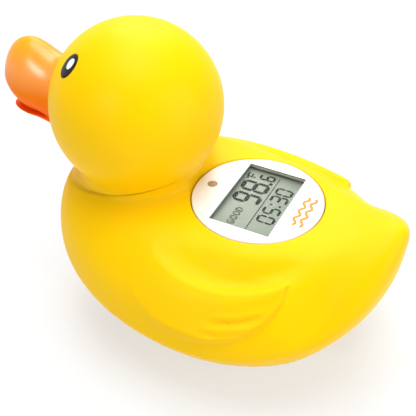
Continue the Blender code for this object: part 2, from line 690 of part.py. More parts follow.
def make_face(white, clear, lens):
    """Round face plate with its window, skirt and screw bosses, the window and the lamp lens."""
    skirt = FACE_R - SKIRT_T
    edge = 0.0003
    profile = [(0.0, FACE_Z + FACE_CROWN), (FACE_R / 2.0, FACE_Z + 0.75 * FACE_CROWN),
               (FACE_R - edge, FACE_Z), (FACE_R, FACE_Z - edge), (FACE_R, LEDGE_Z + GAP),
               (skirt, LEDGE_Z + GAP), (skirt, FACE_UNDER), (0.0, FACE_UNDER)]
    plate = turned("face_plate", profile, steps=WIDE_SIDES, material=white)
    for i, (x, y) in enumerate(boss_places()):
        top = FACE_UNDER + 0.0003
        add(plate, rod(f"boss_{i}", BOSS_R, BOARD_TOP + GAP, top, x, y, sides=TINY_SIDES))
        cut(plate, rod(f"boss_hole_{i}", BOARD_SCREW_R + GAP, BOARD_TOP, top - 0.0008, x, y, sides=TINY_SIDES))
    half_w, half_l = VIEW_W / 2.0, VIEW_L / 2.0
    view = box("view_opening", (-half_w, VIEW_Y - half_l, FACE_UNDER - 0.001),
               (half_w, VIEW_Y + half_l, FACE_Z + 0.001))
    pocket_w, pocket_l = PANEL_W / 2.0 + GAP, PANEL_L / 2.0 + GAP
    pocket = box("window_pocket", (-pocket_w, VIEW_Y - pocket_l, FACE_UNDER - 0.001),
                 (pocket_w, VIEW_Y + pocket_l, FACE_Z - FACE_LIP))
    lamp_hole = rod("lamp_hole", LAMP_R, FACE_UNDER - 0.001, FACE_Z + 0.001, 0.0, LAMP_Y, sides=SMALL_SIDES)
    cut(plate, view, pocket, lamp_hole)
    panel("window", WINDOW_TOP - WINDOW_T, WINDOW_TOP, clear)
    tip = LAMP_R - TRIM_GAP
    step = FACE_UNDER - GAP
    foot = BOARD_TOP + GAP + LED_H + GAP
    turned("light_guide", [(0.0, FACE_Z + FACE_CROWN), (tip - 0.0002, FACE_Z + 0.0001),
                           (tip, FACE_Z - 0.0001), (tip, step), (LAMP_R + 0.0005, step),
                           (LAMP_R + 0.0005, step - 0.0008), (tip, step - 0.0008), (tip, foot),
                           (0.0, foot)], 0.0, LAMP_Y, SMALL_SIDES, lens)


def panel(name, z_low, z_high, material=None):
    """A rectangular piece of the display stack."""
    return box(name, (-PANEL_W / 2.0, VIEW_Y - PANEL_L / 2.0, z_low),
               (PANEL_W / 2.0, VIEW_Y + PANEL_L / 2.0, z_high), material)


def make_display(glass, plastic, elastomer, board, epoxy, metal, lamp):
    """Display glass, its frame and contact strips, the board and what is soldered on it."""
    panel("lcd_panel", LCD_TOP - LCD_T, LCD_TOP, glass)
    frame = panel("lcd_frame", FRAME_TOP - FRAME_T, FRAME_TOP, plastic)
    strip_y = PANEL_L / 2.0 - 0.0012 - STRIP_W / 2.0
    strip_x = PANEL_W / 2.0 - 0.0014
    for name, side in (("zebra_front", -1.0), ("zebra_rear", 1.0)):
        y = VIEW_Y + side * strip_y
        half = STRIP_W / 2.0
        box(name, (-strip_x, y - half, FRAME_TOP - FRAME_T), (strip_x, y + half, FRAME_TOP), elastomer)
        slot = box(name + "_slot", (-strip_x - GAP, y - half - GAP, FRAME_TOP - 2.0 * FRAME_T),
                   (strip_x + GAP, y + half + GAP, FRAME_TOP + FRAME_T))
        cut(frame, slot)
    inner = strip_y - STRIP_W - 0.0012
    cut(frame, box("frame_opening", (-strip_x, VIEW_Y - inner, FRAME_TOP - 2.0 * FRAME_T),
                   (strip_x, VIEW_Y + inner, FRAME_TOP + FRAME_T)))
    disc = rod("display_board", FACE_R - SKIRT_T - GAP, BOARD_UNDER, BOARD_TOP, sides=ROUND_SIDES, material=board)
    for i, (x, y) in enumerate(boss_places()):
        cut(disc, rod(f"board_hole_{i}", BOARD_SCREW_R + GAP, BOARD_UNDER - 0.001,
                      BOARD_TOP + 0.001, x, y, sides=TINY_SIDES))
        seat = BOARD_UNDER - GAP
        turned(f"board_screw_{i + 1}",
               [(0.0, BOARD_TOP + 0.0030), (BOARD_SCREW_R, BOARD_TOP + 0.0030), (BOARD_SCREW_R, seat),
                (BOARD_SCREW_HEAD_R, seat), (BOARD_SCREW_HEAD_R, seat - 0.0007),
                (BOARD_SCREW_R, seat - 0.0011), (0.0, seat - 0.0011)], x, y, TINY_SIDES, metal)
    seat = BOARD_UNDER - GAP
    turned("chip_cap", [(0.0, seat), (0.0045, seat), (0.0041, seat - 0.0006), (0.0028, seat - 0.0011),
                        (0.0, seat - 0.0013)], 0.0, 0.0, SMALL_SIDES, epoxy)
    lying = Matrix.Translation((-0.0085, 0.0, seat - 0.0010)) @ Matrix.Rotation(math.pi / 2.0, 4, "X")
    rod("crystal", 0.0010, -0.0030, 0.0030, sides=TINY_SIDES, material=metal, frame=lying)
    low = BOARD_TOP + GAP
    turned("led", [(0.0, low + LED_H), (0.5 * LED_R, low + 0.87 * LED_H), (LED_R, low + 0.5 * LED_H),
                   (LED_R, low), (0.0, low)], 0.0, LAMP_Y, TINY_SIDES, lamp)


def make_pod(plastic, elastomer):
    """The rigid can through the duck, its shoulder seal and its screw bosses."""
    step = POD_TOP_R_OUT - POD_R_OUT
    profile = [(SHOULDER_R, SHOULDER_TOP), (SHOULDER_R, SHOULDER_TOP - SHOULDER_T),
               (POD_TOP_R_OUT, SHOULDER_TOP - SHOULDER_T), (POD_TOP_R_OUT, LEDGE_Z - POD_WALL),
               (POD_R_OUT, LEDGE_Z - POD_WALL - step), (POD_R_OUT, FOOT_T + GAP),
               (POD_R_IN, FOOT_T + GAP), (POD_R_IN, LEDGE_Z), (POD_TOP_R_IN, LEDGE_Z),
               (POD_TOP_R_IN, SHOULDER_TOP)]
    pod = turned("pod_case", profile, steps=WIDE_SIDES, material=plastic, closed=True)
    low = BASE_BOARD_Z + BOARD_T + GAP
    for label, side in (("left", 1.0), ("right", -1.0)):
        x = side * CASE_SCREW_X
        ends = sorted((x, side * (POD_R_IN + POD_WALL / 2.0)))
        high = low + POD_BOSS_H
        add(pod, rod("pod_boss_" + label, POD_BOSS_R, low, high, x, sides=TINY_SIDES),
            box("pod_rib_" + label, (ends[0], -0.0012, low + 0.0001), (ends[1], 0.0012, high - 0.0001)))
        cut(pod, rod("pod_hole_" + label, CASE_SCREW_R + GAP, low - 0.001, high - 0.001, x, sides=TINY_SIDES))
    ring("shoulder_seal", FACE_R + 2.0 * GAP, SHOULDER_R - GAP, SHOULDER_TOP + GAP,
         SHOULDER_TOP + GAP + SEAL_T, material=elastomer)
    return pod


def make_base(plastic, elastomer, metal):
    """The base cap that the duck stands on, with the battery well and its door."""
    edge = 0.0006
    spigot_in = SPIGOT_R - SPIGOT_WALL
    cap = turned("base_cap", [(0.0, FOOT_T), (spigot_in, FOOT_T), (spigot_in, SPIGOT_TOP),
                              (SPIGOT_R, SPIGOT_TOP), (SPIGOT_R, FOOT_T), (FOOT_R, FOOT_T),
                              (FOOT_R, edge), (FOOT_R - edge, 0.0), (0.0, 0.0)], material=plastic)
    low = FOOT_T / 2.0
    recess_r = DOOR_R + GAP
    well_out = recess_r + WELL_WALL
    add(cap, rod("well_block", well_out, low, WELL_TOP + WELL_WALL, 0.0, CELL_Y, sides=ROUND_SIDES),
        rod("ear_block", CASE_SCREW_R + 0.0010, low, FOOT_T + 0.0050, 0.0, DOOR_SCREW_Y, sides=TINY_SIDES))
    for side in (1.0, -1.0):
        add(cap, rod("case_pillar", POD_BOSS_R - 0.0001, low, SPIGOT_TOP - 0.0002,
                     side * CASE_SCREW_X, sides=TINY_SIDES))
    cut(cap, rod("door_recess", recess_r, -0.001, LEDGE_DEPTH, 0.0, CELL_Y, sides=ROUND_SIDES),
        rod("battery_well", WELL_R, -0.001, WELL_TOP, 0.0, CELL_Y, sides=ROUND_SIDES),
        rod("ear_recess", DOOR_EAR_R + GAP, -0.001, DOOR_T + GAP, 0.0, DOOR_SCREW_Y, sides=SMALL_SIDES),
        rod("ear_hole", CASE_SCREW_R + GAP, 0.0, FOOT_T + 0.0042, 0.0, DOOR_SCREW_Y, sides=TINY_SIDES))
    for side in (1.0, -1.0):
        x = side * CASE_SCREW_X
        cut(cap, rod("case_hole", CASE_SCREW_R + GAP, -0.001, SPIGOT_TOP + 0.001, x, sides=TINY_SIDES),
            rod("case_counterbore", CASE_SCREW_HEAD_R + GAP, -0.001, FOOT_T - 0.0004, x, sides=SMALL_SIDES))
    for name, x, radius, room in (("button", BUTTON_X, BUTTON_R + GAP, 0.0034),
                                  ("probe", PROBE_X, PROBE_R + GAP, 0.0031)):
        cut(cap, rod(name + "_hole", radius, -0.001, FOOT_T + 0.001, x, BUTTON_Y, sides=SMALL_SIDES),
            rod(name + "_room", room, FOOT_T - 0.0001, SPIGOT_TOP + 0.001, x, BUTTON_Y, sides=SMALL_SIDES))
    slot_high = BASE_BOARD_Z
    cut(cap, box("contact_slot", (0.0042, CELL_Y - 0.0019, WELL_TOP - 0.0003),
                 (0.0056, CELL_Y + 0.0019, slot_high)),
        box("contact_pocket", (CELL_R, CELL_Y - 0.0019, LEDGE_DEPTH - 0.0004),
            (WELL_R + 0.0008, CELL_Y + 0.0019, slot_high)))
    ring("base_gasket", POD_R_OUT + GAP, FOOT_R - GAP, FOOT_T + GAP, FOOT_T + GAP + SEAL_T,
         material=elastomer)
    door = rod("battery_door", DOOR_R, 0.0, DOOR_T, 0.0, CELL_Y, sides=ROUND_SIDES, material=plastic)
    add(door, rod("door_ear", DOOR_EAR_R, 0.0, DOOR_T, 0.0, DOOR_SCREW_Y, sides=SMALL_SIDES))
    cut(door, rod("door_hole", CASE_SCREW_R + GAP, -0.001, DOOR_T + 0.001, 0.0, DOOR_SCREW_Y, sides=TINY_SIDES),
        rod("door_counterbore", CASE_SCREW_HEAD_R, -0.001, DOOR_T - 0.0007, 0.0, DOOR_SCREW_Y, sides=SMALL_SIDES))
    screw("door_screw", CASE_SCREW_HEAD_R - GAP, DOOR_T - 0.0007 - GAP, FOOT_T + 0.0038, 0.0, DOOR_SCREW_Y, metal)
    for label, side in (("left", 1.0), ("right", -1.0)):
        screw("case_screw_" + label, CASE_SCREW_HEAD_R, FOOT_T - 0.0004 - GAP, CASE_SCREW_L,
              side * CASE_SCREW_X, 0.0, metal)
    seal_r = recess_r - DOOR_SEAL_R - GAP
    bm = bmesh.new()
    add_torus(bm, seal_r, DOOR_SEAL_R, (0.0, CELL_Y, (DOOR_T + LEDGE_DEPTH) / 2.0))
    add_object("door_seal", finish_mesh("door_seal", bm), elastomer)


def add_torus(bm, major, minor, centre, around=ROUND_SIDES - 4, across=5):
    """A round ring, swept from one circle of points."""
    rows = []
    for i in range(around):
        turn = 2.0 * math.pi * i / around
        row = []
        for j in range(across):
            roll = 2.0 * math.pi * j / across
            reach = major + minor * math.cos(roll)
            place = (centre[0] + reach * math.cos(turn), centre[1] + reach * math.sin(turn),
                     centre[2] + minor * math.sin(roll))
            row.append(bm.verts.new(place))
        rows.append(row)
    for i in range(around):
        one, two = rows[i], rows[(i + 1) % around]
        for j in range(across):
            k = (j + 1) % across
            bm.faces.new((one[j], two[j], two[k], one[k]))


def screw(name, head_r, head_top, end, x, y, material):
    """A pan-head screw, driven from below, with a recess across its head."""
    low = RECESS
    body = turned(name, [(0.0, end), (0.6 * CASE_SCREW_R, end), (CASE_SCREW_R, end - 0.0006),
                         (CASE_SCREW_R, head_top), (head_r, head_top), (head_r, low + 0.0002),
                         (head_r - 0.0002, low), (0.0, low)], x, y, TINY_SIDES, material)
    arm = 0.65 * head_r
    thin = 0.0002
    depth = low + 0.0004
    cut(body, box(name + "_slot", (x - arm, y - thin, low - 0.001), (x + arm, y + thin, depth)),
        box(name + "_cross", (x - thin, y - arm, low - 0.001), (x + thin, y + arm, depth)))
    return body


def make_base_parts(metal, steel, board, plastic, grey):
    """Cell, contacts, base board, button with its switch, probe, sensor and cable."""
    turned("battery", [(0.0, CELL_Z + CELL_T), (CELL_R - 0.0004, CELL_Z + CELL_T),
                       (CELL_R, CELL_Z + CELL_T - 0.0004), (CELL_R, CELL_Z + 0.0008),
                       (CELL_R - 0.0008, CELL_Z), (0.0, CELL_Z)], 0.0, CELL_Y, ROUND_SIDES, steel)
    leaf = CELL_Z + CELL_T + GAP
    top = BASE_BOARD_Z - GAP
    half = 0.0015
    negative = box("contact_negative", (-0.0050, CELL_Y - half, leaf), (0.0052, CELL_Y + half, leaf + CONTACT_T), metal)
    add(negative, box("contact_tab", (0.0052 - CONTACT_T, CELL_Y - half, leaf + CONTACT_T / 2.0),
                      (0.0052, CELL_Y + half, top)))
    side = WELL_R - TRIM_GAP
    box("contact_positive", (side, CELL_Y - half, LEDGE_DEPTH + GAP), (side + CONTACT_T, CELL_Y + half, top), metal)
    disc = rod("base_board", POD_R_IN - GAP, BASE_BOARD_Z, BASE_BOARD_Z + BOARD_T, sides=ROUND_SIDES, material=board)
    for sign in (1.0, -1.0):
        cut(disc, rod("case_pass", CASE_SCREW_R + 1.5 * GAP, BASE_BOARD_Z - 0.001,
                      BASE_BOARD_Z + 2.0 * BOARD_T, sign * CASE_SCREW_X, sides=TINY_SIDES))
    half = 0.0020
    seat = BASE_BOARD_Z - GAP
    plunger = RECESS + 0.0036 + BUTTON_TRAVEL + GAP
    switch = box("tact_switch", (BUTTON_X - half, BUTTON_Y - half, seat - 0.0026),
                 (BUTTON_X + half, BUTTON_Y + half, seat), grey)
    add(switch, rod("plunger", 0.0009, plunger, seat - 0.0020, BUTTON_X, BUTTON_Y, sides=TINY_SIDES))
    flange = FOOT_T + GAP
    turned("mode_button", [(0.0, RECESS + 0.0036), (0.0012, RECESS + 0.0036), (0.0012, flange + 0.0008),
                           (BUTTON_R + 0.0004, flange + 0.0008), (BUTTON_R + 0.0004, flange),
                           (BUTTON_R, flange), (BUTTON_R, RECESS + 0.0003),
                           (BUTTON_R - 0.0003, RECESS), (0.0, RECESS)],
           BUTTON_X, BUTTON_Y, SMALL_SIDES, plastic)
    inner = PROBE_R - PROBE_WALL
    floor = RECESS + PROBE_WALL
    turned("probe_cap", [(0.0, floor), (inner - 0.0008, floor), (inner, floor + 0.0008),
                         (inner, FOOT_T + 0.0036), (PROBE_R, FOOT_T + 0.0036), (PROBE_R, flange + 0.0005),
                         (PROBE_R + 0.0003, flange + 0.0005), (PROBE_R + 0.0003, flange),
                         (PROBE_R, flange), (PROBE_R, RECESS + 0.0010), (PROBE_R - 0.0003, RECESS + 0.0003),
                         (PROBE_R - 0.0010, RECESS), (0.0, RECESS)], PROBE_X, BUTTON_Y, SMALL_SIDES, steel)
    bead_r = 0.0008
    bm = bmesh.new()
    place = Matrix.Translation((PROBE_X, BUTTON_Y, floor + GAP + bead_r))
    bmesh.ops.create_uvsphere(bm, u_segments=10, v_segments=6, radius=bead_r, matrix=place)
    bead = add_object("thermistor", finish_mesh("thermistor", bm), grey)
    for sign in (1.0, -1.0):
        add(bead, rod("sensor_lead", 0.0002, floor + GAP + bead_r, seat, PROBE_X + sign * 0.0004,
                      BUTTON_Y, sides=6))
    make_cable(grey)


def make_cable(material):
    """Flat cable between the two boards, in a slow curve."""
    low = BASE_BOARD_Z + BOARD_T + GAP
    high = BOARD_UNDER - GAP
    rows = 13
    points = []
    for i in range(rows):
        t = i / (rows - 1)
        y = 0.0085 + 0.0022 * math.sin(2.0 * math.pi * t)
        points += [(-CABLE_W / 2.0, y, low + (high - low) * t), (CABLE_W / 2.0, y, low + (high - low) * t)]
    faces = [(2 * i, 2 * i + 1, 2 * i + 3, 2 * i + 2) for i in range(rows - 1)]
    mesh = bpy.data.meshes.new("ribbon_cable")
    mesh.from_pydata(points, [], faces)
    cable = add_object("ribbon_cable", mesh, material)
    wall = cable.modifiers.new("thickness", "SOLIDIFY")
    wall.thickness = CABLE_T
    wall.offset = 0.0


def start_scene():
    """Empty the file and make the two collections."""
    for obj in list(bpy.data.objects):
        bpy.data.objects.remove(obj, do_unlink=True)
    for name in (PARTS, CUTTERS):
        collection = bpy.data.collections.new(name)
        bpy.context.scene.collection.children.link(collection)
    bpy.data.collections[CUTTERS].hide_render = True


def main():
    start_scene()
    yellow = make_material("yellow_vinyl", (1.0, 0.69, 0.006), 0.42)
    orange = make_material("orange_plastic", (1.0, 0.26, 0.004), 0.3)
    black = make_material("black_gloss", (0.01, 0.01, 0.012), 0.12)
    white = make_material("white_plastic", (0.87, 0.87, 0.86), 0.3)
    clear = make_material("window_plastic", (0.8, 0.84, 0.82), 0.05)
    lens = make_material("lamp_lens", (0.62, 0.5, 0.35), 0.25)
    glass = make_material("display_glass", (0.52, 0.58, 0.5), 0.1)
    grey = make_material("grey_plastic", (0.35, 0.36, 0.37), 0.5)
    rubber = make_material("grey_silicone", (0.3, 0.3, 0.31), 0.7)
    board = make_material("board_green", (0.02, 0.16, 0.07), 0.45)
    epoxy = make_material("black_epoxy", (0.015, 0.015, 0.015), 0.35)
    metal = make_material("plated_metal", (0.72, 0.7, 0.66), 0.3, 1.0)
    steel = make_material("stainless_steel", (0.68, 0.68, 0.69), 0.25, 1.0)
    hull = make_hull(yellow)
    make_beak(hull, orange)
    make_eyes(hull, black, white)
    make_face(white, clear, lens)
    make_display(glass, grey, rubber, board, epoxy, metal, lens)
    make_pod(grey, rubber)
    make_base(yellow, rubber, metal)
    make_base_parts(metal, steel, board, white, grey)


main()
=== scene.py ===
"""Looks of the bath thermometer: a yellow vinyl duck with a display in its back.

Fine surfaces stand for the skin, the beak, the eyes and the display face, with the main
sizes of the solids that they replace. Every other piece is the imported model's own, in the
finish of its real material. Sizes are metres. The duck faces -Y, its left side is +X, and
the floor is at height 0.
"""

import json
import math

import bmesh
import bpy
import numpy as np
from mathutils import Matrix
from mathutils import Vector


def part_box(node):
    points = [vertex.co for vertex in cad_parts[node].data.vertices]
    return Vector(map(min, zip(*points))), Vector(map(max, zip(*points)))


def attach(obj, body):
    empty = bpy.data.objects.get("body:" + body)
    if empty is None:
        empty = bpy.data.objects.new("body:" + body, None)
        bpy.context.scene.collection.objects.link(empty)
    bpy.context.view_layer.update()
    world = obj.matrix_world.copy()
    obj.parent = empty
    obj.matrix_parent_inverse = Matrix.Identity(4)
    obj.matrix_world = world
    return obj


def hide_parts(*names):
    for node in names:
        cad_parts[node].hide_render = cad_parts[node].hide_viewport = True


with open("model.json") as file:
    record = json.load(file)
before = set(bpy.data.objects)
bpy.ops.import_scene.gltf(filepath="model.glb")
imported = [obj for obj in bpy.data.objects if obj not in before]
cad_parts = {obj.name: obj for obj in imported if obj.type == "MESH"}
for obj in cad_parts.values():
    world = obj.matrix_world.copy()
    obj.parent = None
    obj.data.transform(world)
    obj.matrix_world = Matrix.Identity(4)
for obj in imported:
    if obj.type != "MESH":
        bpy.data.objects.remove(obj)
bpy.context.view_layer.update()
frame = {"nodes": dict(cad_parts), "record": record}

# The photograph's view: the camera's place, its direction and its focal length in pixels
PHOTO_SIDE = 416
FOCAL_PIXELS = 800.0
SENSOR = 36.0
VIEW_TURN = math.radians(116.751)
VIEW_RAISE = math.radians(39.736)
CAMERA_PLACE = (0.15629, 0.06365, 0.18030)

# Duck's body, as in the moulded skin
SKIN_T = 0.0022
BODY_W = 0.0391
BODY_MID_Y = -0.0058
BODY_REAR = 0.0470
BODY_FRONT = 0.0538
BODY_CROWN_Z = 0.0475
BODY_WIDEST = 0.43
BELLY_Z = 0.0008
KEEL_DEPTH = 0.0120
KEEL_FADE = 1.2
TAIL_Z = 0.0461
TAIL_TOP_Z = 0.0479
TAIL_TOP_Y = 0.0360
TAIL_ROUND = 0.0032
TAIL_LIFT = 0.0055
TAIL_LIFT_START = 0.0190
TAIL_WAIST = 0.11
TAIL_WAIST_Y = 0.0270
TAIL_WAIST_RUN = 0.0055
TAIL_WAIST_Z = 0.0240
TAIL_WAIST_H = 0.0120
TAIL_RISE = 0.0006
TAIL_RISE_Y = 0.0300
TAIL_RISE_RUN = 0.0100
TAIL_RISE_Z = 0.0340
TAIL_RISE_H = 0.0080
BREAST_Z = 0.0288
BREAST_EASE = 0.0035
BREAST_ROUNDS = 8
NECK_BLEND = 0.0080
RIM_BLEND = 0.0022
MOUND_RIM = 0.0014
MOUND_SLOPE = 1.2
MOUND_H = 0.0045
MOUND_BLEND = 0.0015

# How blunt the body's curves are, each as a power, towards the tail and towards the breast
PLAN_BLUNT = (2.1, 2.0)
WIDTH_POWER = (1.01, 0.96)
UNDER_POWER = (0.80, 1.07)
BREAST_POWER = 0.48
FLANK_POWER = 0.88
FLANK_GAIN = 0.44
FLANK_START = -0.0300
FLANK_RUN = 0.0600
BELLY_POWER = 1.20
BELLY_GAIN = 0.40

# Head, round display face, and the fold behind the neck that the stations fan about
HEAD_R = 0.0237
HEAD_Y = -0.0367
HEAD_Z = 0.0631
FACE_Z = 0.0440
FACE_R = 0.0180
FOLD_Y = -0.0120
FOLD_Z = 0.0520
FOLD_START = 0.0020

# Skin's holes and rings: the gap round a piece, the rings' reach and height, and the cuts' depth
GAP = 0.0003
OVERLAP = 0.0001
POD_R = 0.0178
LIP_RING_W = 0.0012
LIP_RING_T = 0.0011
SEAT_RING_W = 0.0020
SEAT_RING_T = 0.0040
HOLE_EDGE = 0.0003
HOLE_CLEAR = 0.0040
CUT_DEPTH = 0.0080
CUT_CLEAR = 0.0010

# Stations along the body, about the fold and up the head, and points on a half ring
SKIN_STATIONS = (150, 66, 58, 190)
CORE_STATIONS = (24, 14, 12, 34)
STATION_POWER = 0.8

# Search for the skin: how far and in how many steps, across a station and along a ray, then
# the halvings, and last the step for its slope
LINE_REACH = 0.0800
LINE_STEPS = 600
RAY_REACH = 0.0700
RAY_STEPS = 71
HALVINGS = 22
SLOPE_STEP = 0.0002

# Edges sharper than these stay creased
SHARP = math.radians(50.0)
PLATE_SHARP = math.radians(40.0)

# Wings
WING_FRONT_Y = -0.0235
WING_TIP_Y = 0.0189
WING_TOP_Z = 0.0366
WING_SAG = 0.0185
WING_SAG_AT = 0.63
WING_LEVEL_Z = 0.0387
WING_DROP = 0.0139
WING_LIFT = 0.0020
WING_VALLEY = 0.0008
WING_VALLEY_UP = 0.0022
WING_VALLEY_W = 0.0018
WING_CRISP = 0.0028
WING_CRISP_LOSS = 0.0019
WING_FOOT = 0.0050
WING_FOOT_LOSS = 0.0032
WING_SIDE = 0.0120
WING_SIDE_RUN = 0.0040

# Feather furrows: front and rear place as (y, z), then sag, width and depth
FURROWS = (
    ((0.0015, 0.0303), (0.0162, 0.0334), 0.0008, 0.00065, 0.00065),
    ((-0.0005, 0.0279), (0.0130, 0.0298), 0.0007, 0.00065, 0.00055),
)

# Beak
BILL_W = 0.0080
BILL_ROOT_W = 0.0074
BILL_MID_Y = -0.0700
BILL_FRONT = 0.0094
BILL_TOP_Z = 0.0756
BILL_ROOT_TOP_Z = 0.0722
BILL_TIP_Z = 0.0636
BILL_UNDER_Z = 0.0525
BILL_BLUNT = 1.9
BILL_SECTION = 1.65
BILL_ROOT_Y = HEAD_Y - HEAD_R
BILL_PLUG = 0.0060
BILL_DROP = 0.0036
MOUTH_Z = 0.0540
MOUTH_GAP = 0.0007
MOUTH_DEPTH = 0.0140
MOUTH_CUT_W = 0.0200
MOUTH_CUT_L = 0.0400
LOWER_BILL_W = 0.0045
LOWER_BILL_ROOT_W = 0.0043
LOWER_BILL_FRONT = 0.0087
LOWER_BILL_H = 0.0028
LOWER_BILL_TOP = 0.30
LOWER_BILL_TIP = 0.35
LOWER_BILL_DROP = 0.0038

# Eyes
EYE_TURN = math.radians(51.0)
EYE_RAISE = math.radians(43.0)
EYE_W = 0.0054
EYE_H = 0.0069
PUPIL_W = 0.0024
PUPIL_H = 0.0032
PUPIL_BACK = 0.0005
PUPIL_UP = 0.0007

# Foot and face of each oval over the head's surface, then its dome and its rim's radius
EYE_LEVELS = (-0.0006, -0.00005, 0.00025, 0.0002)
PUPIL_LEVELS = (-0.0001, 0.00019, 0.00004, 0.00005)
EYE_SEAT_LEVELS = (-0.0008, 0.0030)

# Face plate and the lamp's lens, and how high and how deep the cutters reach
FACE_DOME = 0.0002
FACE_RIM = 0.00045
FACE_UNDER = 0.0009
SKIRT_T = 0.0006
POCKET_DEPTH = 0.0030
LENS_R = 0.0012
LENS_HOLE_R = 0.0014
LENS_DOME = 0.00015
LENS_TOP = 0.00016
LENS_CUT_FOOT = 0.0300
CUTTER_TOP = 0.0500

# Display's opening, the margin and wall height over which the face's painted shade runs, and how the figures
# lie on the panel under it
VIEW_W = 0.0269
VIEW_L = 0.0169
VIEW_Y = 0.0003
LCD_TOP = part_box("lcd_panel")[1].z
WINDOW_SHADE_EDGE = 0.00005
WINDOW_WALL = 0.0022
INK_T = 0.00004
INK_LIFT = 0.00005
FIGURES_RIGHT = 0.0008
FIGURES_UP = 0.0005

# Figures: each one's sign, then its left, right, top and bottom as shares of the display
LARGE_FIGURES = (("9", 0.43, 0.59, 0.055, 0.535), ("8", 0.63, 0.80, 0.055, 0.535))
SMALL_FIGURES = (("6", 0.860, 0.955, 0.25, 0.53),)
CLOCK_FIGURES = (("0", 0.225, 0.340, 0.635, 0.935), ("5", 0.370, 0.485, 0.635, 0.935),
                 ("3", 0.565, 0.680, 0.635, 0.935), ("0", 0.700, 0.815, 0.635, 0.935))

# Bars: the width of a level one and of an upright one, and the gap at their ends
LARGE_BARS = (0.00118, 0.00092, 0.00010)
SMALL_BARS = (0.00070, 0.00058, 0.00006)
CLOCK_BARS = (0.00072, 0.00058, 0.00010)

# Point, colon, unit and dividing line, with places as shares of the display
POINT_PLACE = (0.825, 0.50)
POINT_HALF = 0.00050
COLON_RIGHT = 0.527
COLON_DOWN = (0.71, 0.86)
COLON_R = 0.00036
UNIT_SIDES = (0.86, 0.925)
UNIT_LEVELS = (0.055, 0.20)
UNIT_STROKE = 0.00042
UNIT_BAR_SHORT = 0.0003
DEGREE_RIGHT = 0.835
DEGREE_DOWN = 0.0003
DEGREE_R = 0.00030
DEGREE_STROKE = 0.00022
LINE_SIDES = (0.05, 0.95)
LINE_DOWN = 0.585
LINE_STROKE = 0.00024

# Word left of the temperature
WORD_LEVELS = (0.25, 0.36)
WORD_LEFT = 0.105
WORD_PITCH = 0.070
WORD_HALF = 0.00062
WORD_STROKE = 0.00030
WORD_BAR = 0.00028
WORD_BAR_DROP = 0.0001
WORD_FOOT = 0.0003

# Wavy water lines on the face
MARK_Y = 0.0134
MARK_APART = 0.0010
MARK_L = 0.0124
MARK_SWING = 0.00050
MARK_WAVES = 3.5
MARK_STROKE = 0.00075
MARK_LIFT = 0.00010
MARK_T = 0.00005

# Patterns in the materials, as spots in a metre, from the coarsest to the finest
FLOOR_CLOUDS = 3.0
CLOUDS = 55.0
MOTTLE = 140.0
WAVES = 180.0
HAZE = 240.0
COPPER = 420.0
MASK_CLOUDS = 500.0
STREAKS = 900.0
GRAIN = 1800.0
VINYL_GRAIN = 2600.0
GRIT = 5000.0

# Height of the moulded texture on vinyl, on hard plastic, and on metal and the face
VINYL_RELIEF = 0.000012
PLASTIC_RELIEF = 0.000008
FAINT_RELIEF = 0.000006

# Beak's painted shade and light: the height of its redder foot painted as shade, and how fast it turns to
# amber painted light with height
BEAK_SHADE_Z = 0.050
BEAK_LIGHT_RISE = 38.0

# Display glass: its tone at the middle, and how fast its painted shade darkens it towards the tail
GLASS_SHADE = 0.62
GLASS_SHADE_FALL = 11.0

# Studio: the surround's light, half the floor's side, the floor's share of plain white near
# the duck, how far out that share starts to grow, and over what distance it reaches 1
SURROUND_LIGHT = 0.14
FLOOR_SIDE = 3.0
FLOOR_WHITE = 0.60
FLOOR_NEAR = 0.10
FLOOR_FADE = 0.25

# Colours of the white background and of the soft light, and the place that the lamps face
PLAIN_WHITE = (1.0, 1.0, 1.0, 1.0)
WARM_WHITE = (1.0, 0.99, 0.97, 1.0)
LAMP_AIM = (0.0, 0.0, 0.03)

# Lamps: each one's place, its watts and its side
LAMPS = {
    "overhead": ((0.0, 0.0, 0.85), 5.6, 0.55),
    "far_side": ((-0.50, -0.25, 0.60), 4.0, 0.55),
    "left_side": ((0.62, -0.14, 0.42), 1.35, 0.16),
    "right_side": ((0.0, 0.80, 0.30), 3.4, 0.55),
}


class Wire:
    """One output of a material's nodes, with the arithmetic that adds its Math nodes."""

    def __init__(self, finish, socket):
        self.finish = finish
        self.socket = socket

    def maths(self, operation, first, second=0.0):
        """One Math node between two numbers or wires."""
        node = self.finish.node("ShaderNodeMath", {"operation": operation}, [first, second])
        return Wire(self.finish, node.outputs[0])

    def __add__(self, other):
        return self.maths("ADD", self, other)

    __radd__ = __add__

    def __sub__(self, other):
        return self.maths("SUBTRACT", self, other)

    def __rsub__(self, other):
        return self.maths("SUBTRACT", other, self)

    def __mul__(self, other):
        return self.maths("MULTIPLY", self, other)

    __rmul__ = __mul__


